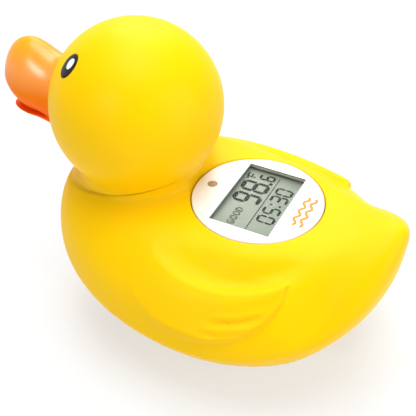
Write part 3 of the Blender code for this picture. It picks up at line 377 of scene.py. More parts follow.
class Finish:
    """A material that ends in a Principled shader."""

    def __init__(self, name, **constants):
        self.material = bpy.data.materials.new(name)
        self.material.use_nodes = True
        self.tree = self.material.node_tree
        self.shader = self.tree.nodes["Principled BSDF"]
        self.output = self.tree.nodes["Material Output"]
        for socket, value in constants.items():
            self.shader.inputs[socket.replace("_", " ")].default_value = value

    def node(self, kind, settings=None, sockets=()):
        """Add a node: its settings first, then the values or links of its sockets."""
        node = self.tree.nodes.new(kind)
        for name, value in (settings or {}).items():
            if name == "stops":
                while len(node.color_ramp.elements) < len(value):
                    node.color_ramp.elements.new(0.5)
                for stop, (place, colour) in zip(node.color_ramp.elements, value):
                    stop.position = place
                    stop.color = (*colour, 1.0)
            else:
                setattr(node, name, value)
        pairs = sockets.items() if isinstance(sockets, dict) else enumerate(sockets)
        for key, value in pairs:
            self.plug(node.inputs[key], value)
        return node

    def plug(self, socket, value):
        """Link a wire to a socket, or set a plain value on it."""
        if isinstance(value, Wire):
            self.tree.links.new(value.socket, socket)
        else:
            socket.default_value = value

    def out(self, kind, settings=None, sockets=(), name=0):
        """Add a node and take one of its outputs."""
        return Wire(self, self.node(kind, settings, sockets).outputs[name])

    def place(self):
        """Place on the piece, in the duck's own metres."""
        return self.out("ShaderNodeTexCoord", name="Object")

    def noise(self, scale, detail=3.0, where=None):
        """Soft random spots between 0 and 1."""
        sockets = {"Vector": where or self.place(), "Scale": scale, "Detail": detail}
        return self.out("ShaderNodeTexNoise", None, sockets)

    def ramp(self, value, *stops):
        """Colour that changes with a value, from stops of a place and a colour."""
        return self.out("ShaderNodeValToRGB", {"stops": stops}, [value])

    def level(self, value, low, high):
        """Map 0 to 1 onto low to high."""
        return value * (high - low) + low

    def feed(self, **sockets):
        """Fill sockets of the Principled shader by name."""
        for name, value in sockets.items():
            self.plug(self.shader.inputs[name.replace("_", " ")], value)
        return self

    def relief(self, height, distance):
        """Turn a height pattern into the shader's normal."""
        bump = self.out("ShaderNodeBump", None, {"Height": height, "Distance": distance, "Strength": 1.0})
        self.plug(self.shader.inputs["Normal"], bump)
        return self


class Surround(Finish):
    """The nodes of the world around the scene."""

    def __init__(self, world):
        world.use_nodes = True
        self.tree = world.node_tree
        self.tree.nodes.clear()
        self.output = self.tree.nodes.new("ShaderNodeOutputWorld")


def tinted(finish, value, colour, spread):
    """A ramp between a slightly darker and a slightly lighter form of a colour."""
    low = tuple(c * (1.0 - spread) for c in colour)
    high = tuple(min(1.0, c * (1.0 + spread)) for c in colour)
    return finish.ramp(value, (0.3, low), (0.7, high))


def vinyl(name, colour, deep, rough):
    """Soft vinyl: a warm body colour with faint clouds, a satin skin and a fine moulded grain."""
    finish = Finish(name, Roughness=rough, IOR=1.46, Specular_IOR_Level=0.10)
    clouds = finish.noise(CLOUDS, 2.0)
    grain = finish.noise(VINYL_GRAIN, 2.0)
    waves = finish.noise(WAVES)
    finish.feed(Base_Color=finish.ramp(clouds, (0.25, deep), (0.75, colour)),
                Roughness=finish.level(waves, rough - 0.05, rough + 0.05))
    return finish.relief(grain + waves * 3.0, VINYL_RELIEF).material


def beak_vinyl(name):
    """Orange vinyl whose colour is painted redder on its under side as shade and more amber on its top as
    light.
    """
    finish = Finish(name, Roughness=0.36, IOR=1.46, Specular_IOR_Level=0.02, Coat_Roughness=0.30,
                    Coat_IOR=1.9)
    height = finish.out("ShaderNodeSeparateXYZ", None, [finish.place()], "Z")
    clouds = finish.noise(CLOUDS, 2.0)
    level = (height - BEAK_SHADE_Z) * BEAK_LIGHT_RISE + (clouds - 0.5) * 0.1
    grain = finish.noise(VINYL_GRAIN, 2.0)
    # Painted shade and light: the base colour runs from a red painted shade low on the beak to an amber
    # painted light on its top.
    finish.feed(Base_Color=finish.ramp(level, (0.05, (1.0, 0.085, 0.0003)), (0.95, (1.0, 0.40, 0.0005))),
                Roughness=finish.level(clouds, 0.33, 0.38),
                Coat_Weight=finish.ramp(level, (0.46, (0.0, 0.0, 0.0)), (0.68, (0.9, 0.9, 0.9)),
                                        (0.95, (0.3, 0.3, 0.3))))
    return finish.relief(grain, PLASTIC_RELIEF).material


def plastic(name, colour, rough, spread=0.04, **constants):
    """Hard moulded plastic with a faint texture."""
    finish = Finish(name, **constants)
    clouds = finish.noise(MOTTLE)
    finish.feed(Base_Color=tinted(finish, clouds, colour, spread),
                Roughness=finish.level(clouds, rough - 0.04, rough + 0.04))
    return finish.relief(finish.noise(GRAIN), PLASTIC_RELIEF).material


def metal(name, colour, rough, stretch=(1.0, 1.0, 1.0)):
    """Plated or turned metal with fine streaks, which lie level where the pattern is squeezed in height."""
    finish = Finish(name, Metallic=1.0)
    place = finish.out("ShaderNodeMapping", None, {"Vector": finish.place(), "Scale": stretch})
    streaks = finish.noise(STREAKS, 4.0, place)
    finish.feed(Base_Color=tinted(finish, streaks, colour, 0.08),
                Roughness=finish.level(streaks, rough - 0.06, rough + 0.08))
    return finish.relief(streaks, FAINT_RELIEF).material


def display_glass():
    """Grey-green reflective display with painted shade, slightly darker towards the tail."""
    finish = Finish("display_glass", Roughness=0.22, Specular_IOR_Level=0.08)
    place = finish.out("ShaderNodeSeparateXYZ", None, [finish.place()], "Y")
    grit = finish.noise(GRIT, 2.0)
    # Painted shade: the base colour darkens along the display towards the tail.
    shade = GLASS_SHADE - place * GLASS_SHADE_FALL + (grit - 0.5) * 0.10
    finish.feed(Base_Color=finish.ramp(shade, (0.45, (0.25, 0.30, 0.245)), (0.75, (0.37, 0.43, 0.355))),
                Roughness=finish.level(grit, 0.18, 0.30))
    return finish.material


def window_clear():
    """Clear moulded window: almost all see-through, with a polished surface."""
    finish = Finish("window_clear", Roughness=0.04, Specular_IOR_Level=0.20, Alpha=0.05)
    haze = finish.noise(HAZE, 2.0)
    finish.feed(Base_Color=finish.ramp(haze, (0.3, (0.30, 0.33, 0.30)), (0.7, (0.36, 0.39, 0.36))),
                Roughness=finish.level(haze, 0.03, 0.08))
    return finish.material


def face_white():
    """White face plastic whose window opening has painted shade: a dark painted shadow at its edge and
    grey-green painted shade on its walls.
    """
    finish = Finish("white_face", Roughness=0.3)
    place = finish.node("ShaderNodeSeparateXYZ", None, [finish.place()])
    x, y, z = [Wire(finish, place.outputs[i]) for i in range(3)]
    across = x.maths("LESS_THAN", x.maths("ABSOLUTE", x), VIEW_W / 2.0 + WINDOW_SHADE_EDGE)
    along = y.maths("LESS_THAN", y.maths("ABSOLUTE", y - VIEW_Y), VIEW_L / 2.0 + WINDOW_SHADE_EDGE)
    clouds = finish.noise(MOTTLE)
    depth = (FACE_Z - z) * (1.0 / WINDOW_WALL) * across * along
    # Painted shade: white at the top, a dark painted shadow band just inside the opening's edge, then
    # grey-green painted shade down its walls.
    colour = finish.ramp(depth + clouds * 0.04, (0.0, (0.85, 0.85, 0.84)), (0.06, (0.90, 0.90, 0.89)),
                         (0.08, (0.10, 0.10, 0.09)), (0.15, (0.12, 0.12, 0.11)), (0.20, (0.50, 0.58, 0.49)))
    finish.feed(Base_Color=colour, Roughness=finish.level(clouds, 0.27, 0.34))
    return finish.relief(finish.noise(GRAIN), FAINT_RELIEF).material


def circuit_board():
    """Solder mask with darker lines where the copper runs."""
    finish = Finish("board_green", Roughness=0.4)
    sockets = {"Vector": finish.place(), "Scale": COPPER, "Mortar": (0, 0, 0, 1), "Mortar Size": 0.03,
               "Color1": (1, 1, 1, 1), "Color2": (0.7, 0.7, 0.7, 1)}
    cells = finish.out("ShaderNodeTexBrick", None, sockets, "Color")
    finish.feed(Base_Color=finish.ramp(cells, (0.2, (0.01, 0.09, 0.04)), (0.9, (0.02, 0.17, 0.07))),
                Roughness=finish.level(finish.noise(MASK_CLOUDS), 0.3, 0.45))
    return finish.material


def add_object(name, data):
    """A new object in the scene."""
    obj = bpy.data.objects.new(name, data)
    bpy.context.scene.collection.objects.link(obj)
    return obj


def clean(name, bm, smooth=True):
    """Finish a bmesh as a mesh with its doubles merged and its normals facing out."""
    bmesh.ops.remove_doubles(bm, verts=bm.verts, dist=0.000001)
    bmesh.ops.recalc_face_normals(bm, faces=bm.faces)
    mesh = bpy.data.meshes.new(name)
    bm.to_mesh(mesh)
    bm.free()
    if smooth:
        mesh.shade_smooth()
    return mesh


def mesh_of(name, points, faces, smooth=True):
    """A closed mesh from an array of points and a list of faces."""
    draft = bpy.data.meshes.new(name)
    draft.from_pydata(points.tolist(), [], faces)
    bm = bmesh.new()
    bm.from_mesh(draft)
    bpy.data.meshes.remove(draft)
    return clean(name, bm, smooth)


def creased(mesh, angle):
    """Shade a mesh smooth, apart from its edges sharper than an angle."""
    mesh.shade_smooth()
    mesh.set_sharp_from_angle(angle=angle)
    return mesh


def piece(name, mesh, material, slot, *nodes):
    """A finished piece that rides with the duck and stands for the CAD nodes it names."""
    obj = add_object(name, mesh)
    mesh.materials.clear()
    mesh.materials.append(material)
    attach(obj, "root")
    if nodes:
        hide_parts(*nodes)


def grid_mesh(name, points, caps=()):
    """A tube of quads through rows and columns of points, closed round along each row.

    Each cap is a pair of a row and the point that closes it as a fan.
    """
    rows, cols = points.shape[:2]
    index = np.arange(rows * cols).reshape(rows, cols)
    beside = np.roll(index, -1, axis=1)
    quads = np.stack([index[:-1], beside[:-1], beside[1:], index[1:]], -1).reshape(-1, 4)
    vertices = points.reshape(-1, 3)
    faces = quads.tolist()
    for row, tip in caps:
        vertices = np.concatenate([vertices, [tip]])
        edge = index[row]
        fan = np.stack([np.roll(edge, -1), edge, np.full(cols, len(vertices) - 1)], -1)
        faces += fan.tolist()
    return mesh_of(name, vertices, faces)


def turned(name, profile, sides, y=0.0):
    """A profile of radius and height pairs carried round the upright line at y.

    Each point lies at radius times the turn's cosine, and at y plus radius times its sine.
    """
    profile = np.array(profile)
    turn = np.linspace(0.0, 2.0 * math.pi, sides, endpoint=False)
    reach = profile[:, 0, None]
    points = np.stack([reach * np.cos(turn), y + reach * np.sin(turn), profile[:, 1, None] + 0.0 * turn], -1)
    return grid_mesh(name, points)


def carve(mesh, tool, operation):
    """Cut one closed mesh by another, or join the two."""
    one = add_object("work", mesh)
    two = add_object("tool", tool)
    step = one.modifiers.new("step", "BOOLEAN")
    step.object = two
    step.operation = operation
    step.solver = "MANIFOLD"
    graph = bpy.context.evaluated_depsgraph_get()
    made = bpy.data.meshes.new_from_object(one.evaluated_get(graph))
    for obj in (one, two):
        bpy.data.objects.remove(obj)
    made.name = mesh.name
    return made


def block(low, high):
    """A cuboid mesh between two corners."""
    bm = bmesh.new()
    low, high = Vector(low), Vector(high)
    place = Matrix.Translation((low + high) / 2.0) @ Matrix.Diagonal((*(high - low), 1.0))
    bmesh.ops.create_cube(bm, size=1.0, matrix=place)
    return clean("block", bm)


def smooth_step(value):
    """Eased ramp from 0 to 1: three times the value's square less twice its cube."""
    value = np.clip(value, 0.0, 1.0)
    return value * value * (3.0 - 2.0 * value)


def soft_min(a, b, reach):
    """Smaller of two distances, with a fillet where they are within reach of each other.

    A share runs from 0 to 1 as the second outgrows the first. The result goes from the second
    to the first by that share, less the reach times the share times what is left of it.
    """
    mix = np.clip(0.5 + 0.5 * (b - a) / reach, 0.0, 1.0)
    return b + (a - b) * mix - reach * mix * (1.0 - mix)


def flank_power(y, above, flat):
    """Roundness of the flanks: above the widest line by the place along the body, below by the belly."""
    upper = FLANK_POWER + FLANK_GAIN * smooth_step((y - FLANK_START) / FLANK_RUN)
    return np.where(above, upper, BELLY_POWER + BELLY_GAIN * flat)


def body_section(y, inset):
    """Half-width, lowest, widest and highest height of the body's cross-section at y.

    The plan is a superellipse in each direction from the widest station, the belly line
    rises to the tail and the breast, and the back rises to the upturned tail.
    """
    rear = y > BODY_MID_Y
    length = np.where(rear, BODY_REAR, BODY_FRONT) - inset
    along = np.clip((y - BODY_MID_Y) / length, -1.0, 1.0)
    across = np.sqrt(np.maximum(1.0 - np.abs(along) ** np.where(rear, *PLAN_BLUNT), 1e-8))
    width = (BODY_W - inset) * across ** np.where(rear, *WIDTH_POWER)
    end = np.where(rear, TAIL_Z, BREAST_Z)
    low = end * (1.0 - across ** np.where(rear, *UNDER_POWER))
    back = BODY_CROWN_Z + (TAIL_TOP_Z - BODY_CROWN_Z) * np.clip(y / TAIL_TOP_Y, 0.0, 2.0) ** 2
    tip = BODY_MID_Y + BODY_REAR
    over = np.clip((y - (tip - TAIL_ROUND)) / TAIL_ROUND, 0.0, 1.0)
    back = back - TAIL_ROUND * (1.0 - np.sqrt(np.maximum(1.0 - over * over, 0.0)))
    front = BREAST_Z + (BODY_CROWN_Z - BREAST_Z) * across ** BREAST_POWER
    high = np.where(rear, back, front)
    widest = low + BODY_WIDEST * (high - low)
    flat = 1.0 - smooth_step(low / (KEEL_FADE * KEEL_DEPTH))
    return width, low - KEEL_DEPTH * flat + inset, widest, high - inset, flat


def body_distance(p, inset):
    """Rough signed distance to the body, before its flat back and belly are cut.

    Each cross-section is a superellipse about its widest line. A point's radius is measured
    in that curve's own, and the distance is the part of its reach that lies past the curve.
    """
    width, low, widest, high, flat = body_section(p[..., 1], inset)
    rise = p[..., 2] - widest
    above = rise > 0.0
    reach = np.maximum(np.where(above, high - widest, widest - low), 1e-5)
    power = flank_power(p[..., 1], above, flat)
    scaled = np.abs(p[..., 0] / width) ** (2.0 / power) + np.abs(rise / reach) ** (2.0 / power)
    radius = np.maximum(scaled, 1e-9) ** (power / 2.0)
    return (1.0 - 1.0 / radius) * np.hypot(p[..., 0], rise)


def skin_distance(p, inset=0.0):
    """Rough signed distance to the duck: flattened body and round head, filleted.

    A low conical mound round the display face keeps the skin flush with its rim.
    """
    down = FACE_Z - p[..., 2]
    cone = np.hypot(p[..., 0], p[..., 1]) - FACE_R - MOUND_RIM - MOUND_SLOPE * down
    mound = np.maximum(cone / math.hypot(1.0, MOUND_SLOPE), down - MOUND_H) + inset
    lift = np.clip((p[..., 1] - TAIL_LIFT_START) / (TAIL_TOP_Y - TAIL_LIFT_START), 0.0, 2.0)
    back = p[..., 2] - (FACE_Z - inset + TAIL_LIFT * lift * lift)
    body = -soft_min(-soft_min(body_distance(p, inset), mound, MOUND_BLEND), -back, RIM_BLEND)
    centre = p - np.array([0.0, HEAD_Y, HEAD_Z])
    head = np.linalg.norm(centre, axis=-1) - (HEAD_R - inset)
    both = soft_min(head, body, NECK_BLEND)
    return np.maximum(both, BELLY_Z + inset - p[..., 2])


def skin_stations(inset, body_count, fold_count, head_count):
    """Where each cross-section starts, and the way across the duck's middle in its plane.

    Upright planes run from the tail to the nape, then planes fan about the fold behind
    the neck, and level planes climb the head.
    """
    ease = 0.5 - 0.5 * np.cos(np.linspace(0.0, math.pi, 2 * body_count)[1:body_count + 1])
    tail = BODY_MID_Y + BODY_REAR - inset
    ys = tail + (FOLD_Y - tail) * (ease / ease[-1]) ** STATION_POWER
    starts = [np.stack([0.0 * ys, ys, np.full_like(ys, FOLD_Z + FOLD_START)], -1)]
    ways = [np.tile([0.0, 0.0, -1.0], (len(ys), 1))]
    turn = np.linspace(0.0, math.pi / 2.0, fold_count + 2)[1:-1]
    starts.append(np.tile([0.0, FOLD_Y, FOLD_Z], (len(turn), 1)))
    ways.append(np.stack([0.0 * turn, -np.sin(turn), -np.cos(turn)], -1))
    top_angle = np.linspace(math.asin((FOLD_Z - HEAD_Z) / HEAD_R), math.pi / 2.0, head_count + 1)
    zs = HEAD_Z + (HEAD_R - inset) * np.sin(top_angle[:-1])
    starts.append(np.stack([0.0 * zs, np.full_like(zs, HEAD_Y + HEAD_R), zs], -1))
    ways.append(np.tile([0.0, -1.0, 0.0], (len(zs), 1)))
    return np.concatenate(starts), np.concatenate(ways)


def skin_rings(inset, body_count, fold_count, head_count, rays):
    """Points of the skin: one closed ring for each station, found by halving along rays.

    The ring's centre is midway between the first and last place inside the duck on the
    station's line, and its rays fan half way round from there. The other half mirrors them.
    """
    starts, ways = skin_stations(inset, body_count, fold_count, head_count)
    steps = np.linspace(0.0, LINE_REACH, LINE_STEPS)
    inside = skin_distance(starts[:, None] + ways[:, None] * steps[None, :, None], inset) < 0.0
    first = steps[np.argmax(inside, axis=1)]
    last = steps[len(steps) - 1 - np.argmax(inside[:, ::-1], axis=1)]
    centres = starts + ways * ((first + last) / 2.0)[:, None]
    angle = np.linspace(0.0, math.pi, rays)[None, :, None]
    out = ways[:, None] * np.cos(angle) + np.array([1.0, 0.0, 0.0]) * np.sin(angle)
    out[:, (0, -1), 0] = 0.0
    near = np.zeros(out.shape[:2])
    far = np.zeros(out.shape[:2])
    found = np.zeros(out.shape[:2], bool)
    for reach in np.linspace(0.0, RAY_REACH, RAY_STEPS)[1:]:
        beyond = skin_distance(centres[:, None] + out * reach, inset) > 0.0
        far = np.where(beyond & ~found, reach, far)
        found |= beyond
        near = np.where(found, near, reach)
    for _ in range(HALVINGS):
        middle = (near + far) / 2.0
        beyond = skin_distance(centres[:, None] + out * middle[..., None], inset) > 0.0
        near = np.where(beyond, near, middle)
        far = np.where(beyond, middle, far)
    half = centres[:, None] + out * far[..., None]
    other = half[:, -2:0:-1] * np.array([-1.0, 1.0, 1.0])
    return np.concatenate([half, other], axis=1)


def skin_normals(p):
    """Outward direction of the skin: the slope of its distance."""
    steps = SLOPE_STEP * np.eye(3)
    normal = np.stack([skin_distance(p + step) - skin_distance(p - step) for step in steps], -1)
    return normal / np.maximum(np.linalg.norm(normal, axis=-1, keepdims=True), 1e-9)


def wing_edges(u):
    """Upper and lower edge of the wing at u from 0 at its front to 1 at its tip.

    The upper edge is a parabola about its lowest place, up to a quarter of the sag. The lower
    edge hangs below a level line by the drop times a half oval.
    """
    u = np.clip(u, 0.0, 1.0)
    upper = WING_TOP_Z + WING_SAG * np.minimum((u - WING_SAG_AT) ** 2, 0.25)
    oval = np.sqrt(np.maximum(1.0 - np.abs(2.0 * u ** 0.9 - 1.0) ** 2.2, 0.0))
    return upper, WING_LEVEL_Z - WING_DROP * oval


def bell(value, middle, width):
    """A smooth bump of height 1: e to minus the square of the offset in widths."""
    return np.exp(-((value - middle) / width) ** 2)


def groove(y, z, front, rear, sag, width, depth):
    """A shallow furrow between two (y, z) places, fading out at its ends.

    It follows the straight line between them less a half wave of the sag, as a bump turned
    inward, with half as high a bump turned outward above it.
    """
    t = (y - front[0]) / (rear[0] - front[0])
    line = front[1] + (rear[1] - front[1]) * t - sag * np.sin(math.pi * np.clip(t, 0.0, 1.0))
    fade = smooth_step(t / 0.3) * smooth_step((1.0 - t) / 0.2)
    return fade * depth * (0.5 * bell(z, line + 1.6 * width, width) - bell(z, line, width))


def wing_relief(p):
    """How far the wing stands out of the flank.

    Along the wing, u runs from 0 at its front to 1 at its tip, and across it v runs from 0 at
    its upper edge to 1 at its lower one. The pad is the lift times an eased ramp inward from
    each edge, times a level with two bumps across it. It is soft at its front and under side, crisp
    along its upper edge and tip, and highest in a ridge under its upper edge and in a roll
    along its lower edge. A valley lies above the upper edge, and feather furrows run near
    the tip.
    """
    y, z = p[..., 1], p[..., 2]
    u = (y - WING_FRONT_Y) / (WING_TIP_Y - WING_FRONT_Y)
    upper, lower = wing_edges(u)
    v = (upper - z) / np.maximum(upper - lower, 0.001)
    swell = smooth_step((u + 0.05) / 0.75) ** 0.8
    crisp = WING_CRISP - WING_CRISP_LOSS * smooth_step(u / 0.7)
    top = smooth_step((upper - z) / crisp + 0.45)
    foot = smooth_step((z - lower) / (WING_FOOT - WING_FOOT_LOSS * smooth_step(u)) + 0.30)
    tip = smooth_step((1.0 - u) / 0.030)
    shape = 0.70 + 0.30 * bell(v, 0.16, 0.20) + 0.22 * bell(v, 0.86, 0.14)
    pad = WING_LIFT * swell * top * foot * tip * shape
    valley = WING_VALLEY * smooth_step((u - 0.1) / 0.4) * smooth_step((1.1 - u) / 0.2)
    valley = valley * bell(z, upper + WING_VALLEY_UP, WING_VALLEY_W)
    lines = sum(groove(y, z, *furrow) for furrow in FURROWS)
    side = smooth_step((np.abs(p[..., 0]) - WING_SIDE) / WING_SIDE_RUN)
    return (pad - valley + lines * top * foot) * side


def eased(mesh, middle, reach, rounds):
    """Draw the points of a mesh near a place half way to their neighbours' mean, some rounds over."""
    bm = bmesh.new()
    bm.from_mesh(mesh)
    near = [vert for vert in bm.verts if (vert.co - Vector(middle)).length < reach]
    for _ in range(rounds):
        bmesh.ops.smooth_vert(bm, verts=near, factor=0.5, use_axis_x=True, use_axis_y=True, use_axis_z=True)
    bm.to_mesh(mesh)
    bm.free()
    return mesh


def tail_form(p):
    """Skin points with the upper flanks narrowed ahead of the tail and the tail's tip raised.

    The narrowing is a bump along the body times an eased ramp with height, and the rise is
    one eased ramp towards the tail times another with height.
    """
    x, y, z = np.moveaxis(p, -1, 0)
    waist = TAIL_WAIST * bell(y, TAIL_WAIST_Y, TAIL_WAIST_RUN)
    waist = waist * smooth_step((z - TAIL_WAIST_Z) / TAIL_WAIST_H)
    rise = smooth_step((y - TAIL_RISE_Y) / TAIL_RISE_RUN) * smooth_step((z - TAIL_RISE_Z) / TAIL_RISE_H)
    return np.stack([x * (1.0 - waist), y, z + TAIL_RISE * rise], -1)


def rounded_hole(radius, top, bottom, edge):
    """Profile of a cutter for a round hole whose upper rim is rounded over.

    The rim is a quarter circle of the edge's radius that turns from level to upright.
    """
    bend = np.linspace(0.5 * math.pi, 0.0, 7)
    flare = [(radius + edge * (1.0 - math.cos(a)), top - edge + edge * math.sin(a)) for a in bend]
    over = top + HOLE_CLEAR
    lid = [(0.0, over), (radius + 4.0 * edge, over), (radius + edge, top)]
    return lid + flare[1:] + [(radius, bottom), (0.0, bottom)]


def make_skin(material):
    """The hollow vinyl skin with its wings, its lip under the face and its seat at the foot."""
    rings = skin_rings(0.0, *SKIN_STATIONS)
    rings = tail_form(rings + skin_normals(rings) * wing_relief(rings)[..., None])
    tail = (0.0, BODY_MID_Y + BODY_REAR, rings[0, :, 2].mean())
    skin = grid_mesh("skin", rings, [(0, tail), (-1, (0.0, HEAD_Y, HEAD_Z + HEAD_R))])
    skin = eased(skin, (0.0, BODY_MID_Y - BODY_FRONT, BREAST_Z), BREAST_EASE, BREAST_ROUNDS)
    inner_rings = tail_form(skin_rings(SKIN_T, *CORE_STATIONS))
    inner_tail = (0.0, BODY_MID_Y + BODY_REAR - SKIN_T, inner_rings[0, :, 2].mean())
    crown = (0.0, HEAD_Y, HEAD_Z + HEAD_R - SKIN_T)
    skin = carve(skin, grid_mesh("core", inner_rings, [(0, inner_tail), (-1, crown)]), "DIFFERENCE")
    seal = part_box("shoulder_seal")[1]
    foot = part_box("base_cap")[1].x
    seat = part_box("base_gasket")[1].z + GAP
    lip = seal.z + GAP
    lip_ring = disc(seal.x + LIP_RING_W, lip + LIP_RING_T, lip)
    seat_ring = disc(foot + SEAT_RING_W, seat + SEAT_RING_T, seat - OVERLAP)
    face_hole = rounded_hole(FACE_R + GAP, FACE_Z - OVERLAP, FACE_Z - CUT_DEPTH, HOLE_EDGE)
    bore = disc(POD_R + GAP, seat + CUT_DEPTH, -CUT_CLEAR)
    foot_seat = disc(foot + GAP, seat, -CUT_CLEAR)
    for name, profile, sides, operation in (
            ("lip", lip_ring, 96, "UNION"), ("seat", seat_ring, 96, "UNION"),
            ("face hole", face_hole, 160, "DIFFERENCE"), ("bore", bore, 128, "DIFFERENCE"),
            ("foot seat", foot_seat, 128, "DIFFERENCE")):
        skin = carve(skin, turned(name, profile, sides), operation)
    for side in (1.0, -1.0):
        hollow = oval_solid("eye seat", EYE_W + GAP, EYE_H + GAP, eye_frame(side), *EYE_SEAT_LEVELS)
        skin = carve(skin, hollow, "DIFFERENCE")
    piece("duck_skin", creased(skin, SHARP), material, "yellow_skin", "hull")


def disc(radius, top, bottom):
    """Profile of a plain round block."""
    return [(0.0, top), (radius, top), (radius, bottom), (0.0, bottom)]


def eye_frame(side):
    """Frame on the head's surface: Z along the outward normal, Y up the eye's long axis."""
    turn = EYE_TURN * side
    level = math.cos(EYE_RAISE)
    normal = Vector((math.sin(turn) * level, -math.cos(turn) * level, math.sin(EYE_RAISE)))
    right = Vector((0.0, 0.0, 1.0)).cross(normal).normalized()
    up = normal.cross(right)
    place = Matrix((right, up, normal)).transposed().to_4x4()
    place.translation = Vector((0.0, HEAD_Y, HEAD_Z)) + normal * HEAD_R
    return place


def oval_solid(name, width, height, place, low, high, dome=0.0, rim=0.0):
    """An oval disc in a frame, with a rounded rim and a domed face.

    The reach runs from the rim to the middle while the height rises as a quarter circle
    at the rim, and then by the dome times what the reach's square leaves of one.
    """
    bend = np.linspace(0.0, 0.5 * math.pi, 7) if rim else np.array([0.5 * math.pi])
    share = rim / (width / 2.0)
    inward = np.linspace(1.0 - share, 0.0, 9)[1:]
    reach = np.concatenate([[0.0, 1.0], 1.0 - share + share * np.cos(bend), inward])
    level = np.concatenate([[low, low], high - rim + rim * np.sin(bend), np.full(len(inward), high)])
    level = np.where(level > low, level + dome * (1.0 - np.minimum(reach, 1.0) ** 2), level)
    turn = np.linspace(0.0, 2.0 * math.pi, 72, endpoint=False)
    across = width / 2.0 * reach[:, None] * np.cos(turn)
    up = height / 2.0 * reach[:, None] * np.sin(turn)
    points = np.stack([across, up, level[:, None] + 0.0 * turn], -1)
    matrix = np.array(place)
    return grid_mesh(name, points @ matrix[:3, :3].T + matrix[:3, 3])


def make_eyes(black, white):
    """Domed glossy eyes with a pale oval pupil each, set up towards the beak."""
    for label, side in (("left", 1.0), ("right", -1.0)):
        place = eye_frame(side)
        eye = oval_solid("eye", EYE_W, EYE_H, place, *EYE_LEVELS)
        piece("glossy_eye_" + label, eye, black, "black_gloss", "eye_" + label)
        shifted = place @ Matrix.Translation((side * PUPIL_BACK, PUPIL_UP, 0.0))
        pupil = oval_solid("pupil", PUPIL_W, PUPIL_H, shifted, *PUPIL_LEVELS)
        piece("pale_pupil_" + label, pupil, white, "white_plastic", "pupil_" + label)


def bill(name, half_width, root_width, heights, root_top, front, root_drop):
    """One bill: rounded rings from inside the head to a blunt rounded tip.

    Width and height follow a superellipse ahead of the bill's middle and ease to the root
    behind it. The heights are its underside, the level of its tip, and its top. Each ring is
    a superellipse too, a little flatter on its slopes than an oval.
    """
    low, level, top = heights
    root = BILL_ROOT_Y + BILL_PLUG
    ahead_turn = np.linspace(0.0, 0.5 * math.pi, 56)[:-1]
    ys = np.concatenate([np.linspace(root, BILL_MID_Y, 40)[:-1], BILL_MID_Y - front * np.sin(ahead_turn)])
    behind = smooth_step((ys - BILL_MID_Y) / (BILL_ROOT_Y - BILL_MID_Y))
    ahead = np.clip((BILL_MID_Y - ys) / front, 0.0, 1.0)
    close = (1.0 - ahead ** BILL_BLUNT) ** (1.0 / BILL_BLUNT)
    wide = (half_width + (root_width - half_width) * behind) * close
    above = (top + (root_top - top) * behind - level) * close
    below = (level - low + root_drop * behind) * close
    turn = np.linspace(0.0, 2.0 * math.pi, 140, endpoint=False)
    side, rise = [np.sign(a) * np.abs(a) ** (2.0 / BILL_SECTION) for a in (np.cos(turn), np.sin(turn))]
    z = level + np.where(rise > 0.0, above[:, None], below[:, None]) * rise
    points = np.stack([wide[:, None] * side, ys[:, None] + 0.0 * turn, z], -1)
    return grid_mesh(name, points, [(0, (0.0, root, level)), (-1, (0.0, BILL_MID_Y - front, level))])


def make_beak(material):
    """The beak's two bills with the parted mouth between them, cut to fit the head."""
    upper = bill("upper", BILL_W, BILL_ROOT_W, (BILL_UNDER_Z, BILL_TIP_Z, BILL_TOP_Z), BILL_ROOT_TOP_Z,
                 BILL_FRONT, BILL_DROP)
    top = MOUTH_Z + LOWER_BILL_TOP * LOWER_BILL_H
    levels = (MOUTH_Z - LOWER_BILL_H, MOUTH_Z - LOWER_BILL_TIP * LOWER_BILL_H, top)
    lower = bill("lower", LOWER_BILL_W, LOWER_BILL_ROOT_W, levels, top, LOWER_BILL_FRONT, LOWER_BILL_DROP)
    beak = carve(upper, lower, "UNION")
    back = BILL_MID_Y - BILL_FRONT + MOUTH_DEPTH
    mouth = block((-MOUTH_CUT_W, back - MOUTH_CUT_L, MOUTH_Z - MOUTH_GAP), (MOUTH_CUT_W, back, MOUTH_Z))
    beak = carve(beak, mouth, "DIFFERENCE")
    head = HEAD_R + OVERLAP
    angle = np.linspace(-0.5 * math.pi, 0.5 * math.pi, 60)
    half_round = np.stack([head * np.cos(angle), HEAD_Z + head * np.sin(angle)], -1)
    beak = carve(beak, turned("ball", half_round, 120, HEAD_Y), "DIFFERENCE")
    piece("beak_shell", creased(beak, SHARP), material, "orange_beak", "beak")


def plates(name, outlines, low, thick, material, slot):
    """Thin flat pieces as one object: outlines of (x, y) points at two heights, walled between."""
    points = []
    faces = []
    first = 0
    for outline in outlines:
        flat = np.array(outline)
        count = len(flat)
        points += [np.column_stack([flat, np.full(count, level)]) for level in (low, low + thick)]
        base = np.arange(first, first + count)
        beside = np.roll(base, -1)
        walls = np.stack([base, beside, beside + count, base + count], -1)
        faces += [base.tolist(), (base + count).tolist()] + walls.tolist()
        first += 2 * count
    piece(name, mesh_of(name, np.concatenate(points), faces, smooth=False), material, slot)


def bar(start, end, width):
    """A six-sided display bar between two text points, pointed at both ends."""
    start, end = np.array(start), np.array(end)
    along = (end - start) / np.linalg.norm(end - start)
    across = np.array([-along[1], along[0]]) * width / 2.0
    tip = along * width / 2.0
    return [start, start + tip + across, end - tip + across, end, end - tip - across, start + tip - across]


# Ends of a figure's seven bars, as shares of its width and height, and the bars that each lights
SEGMENTS = {"a": ((0, 1), (1, 1)), "b": ((1, 1), (1, 0.5)), "c": ((1, 0.5), (1, 0)), "d": ((0, 0), (1, 0)),
            "e": ((0, 0.5), (0, 0)), "f": ((0, 1), (0, 0.5)), "g": ((0, 0.5), (1, 0.5))}
LIT = {"0": "abcdef", "3": "abcdg", "5": "acdfg", "6": "acdefg", "8": "abcdefg", "9": "abcdfg"}


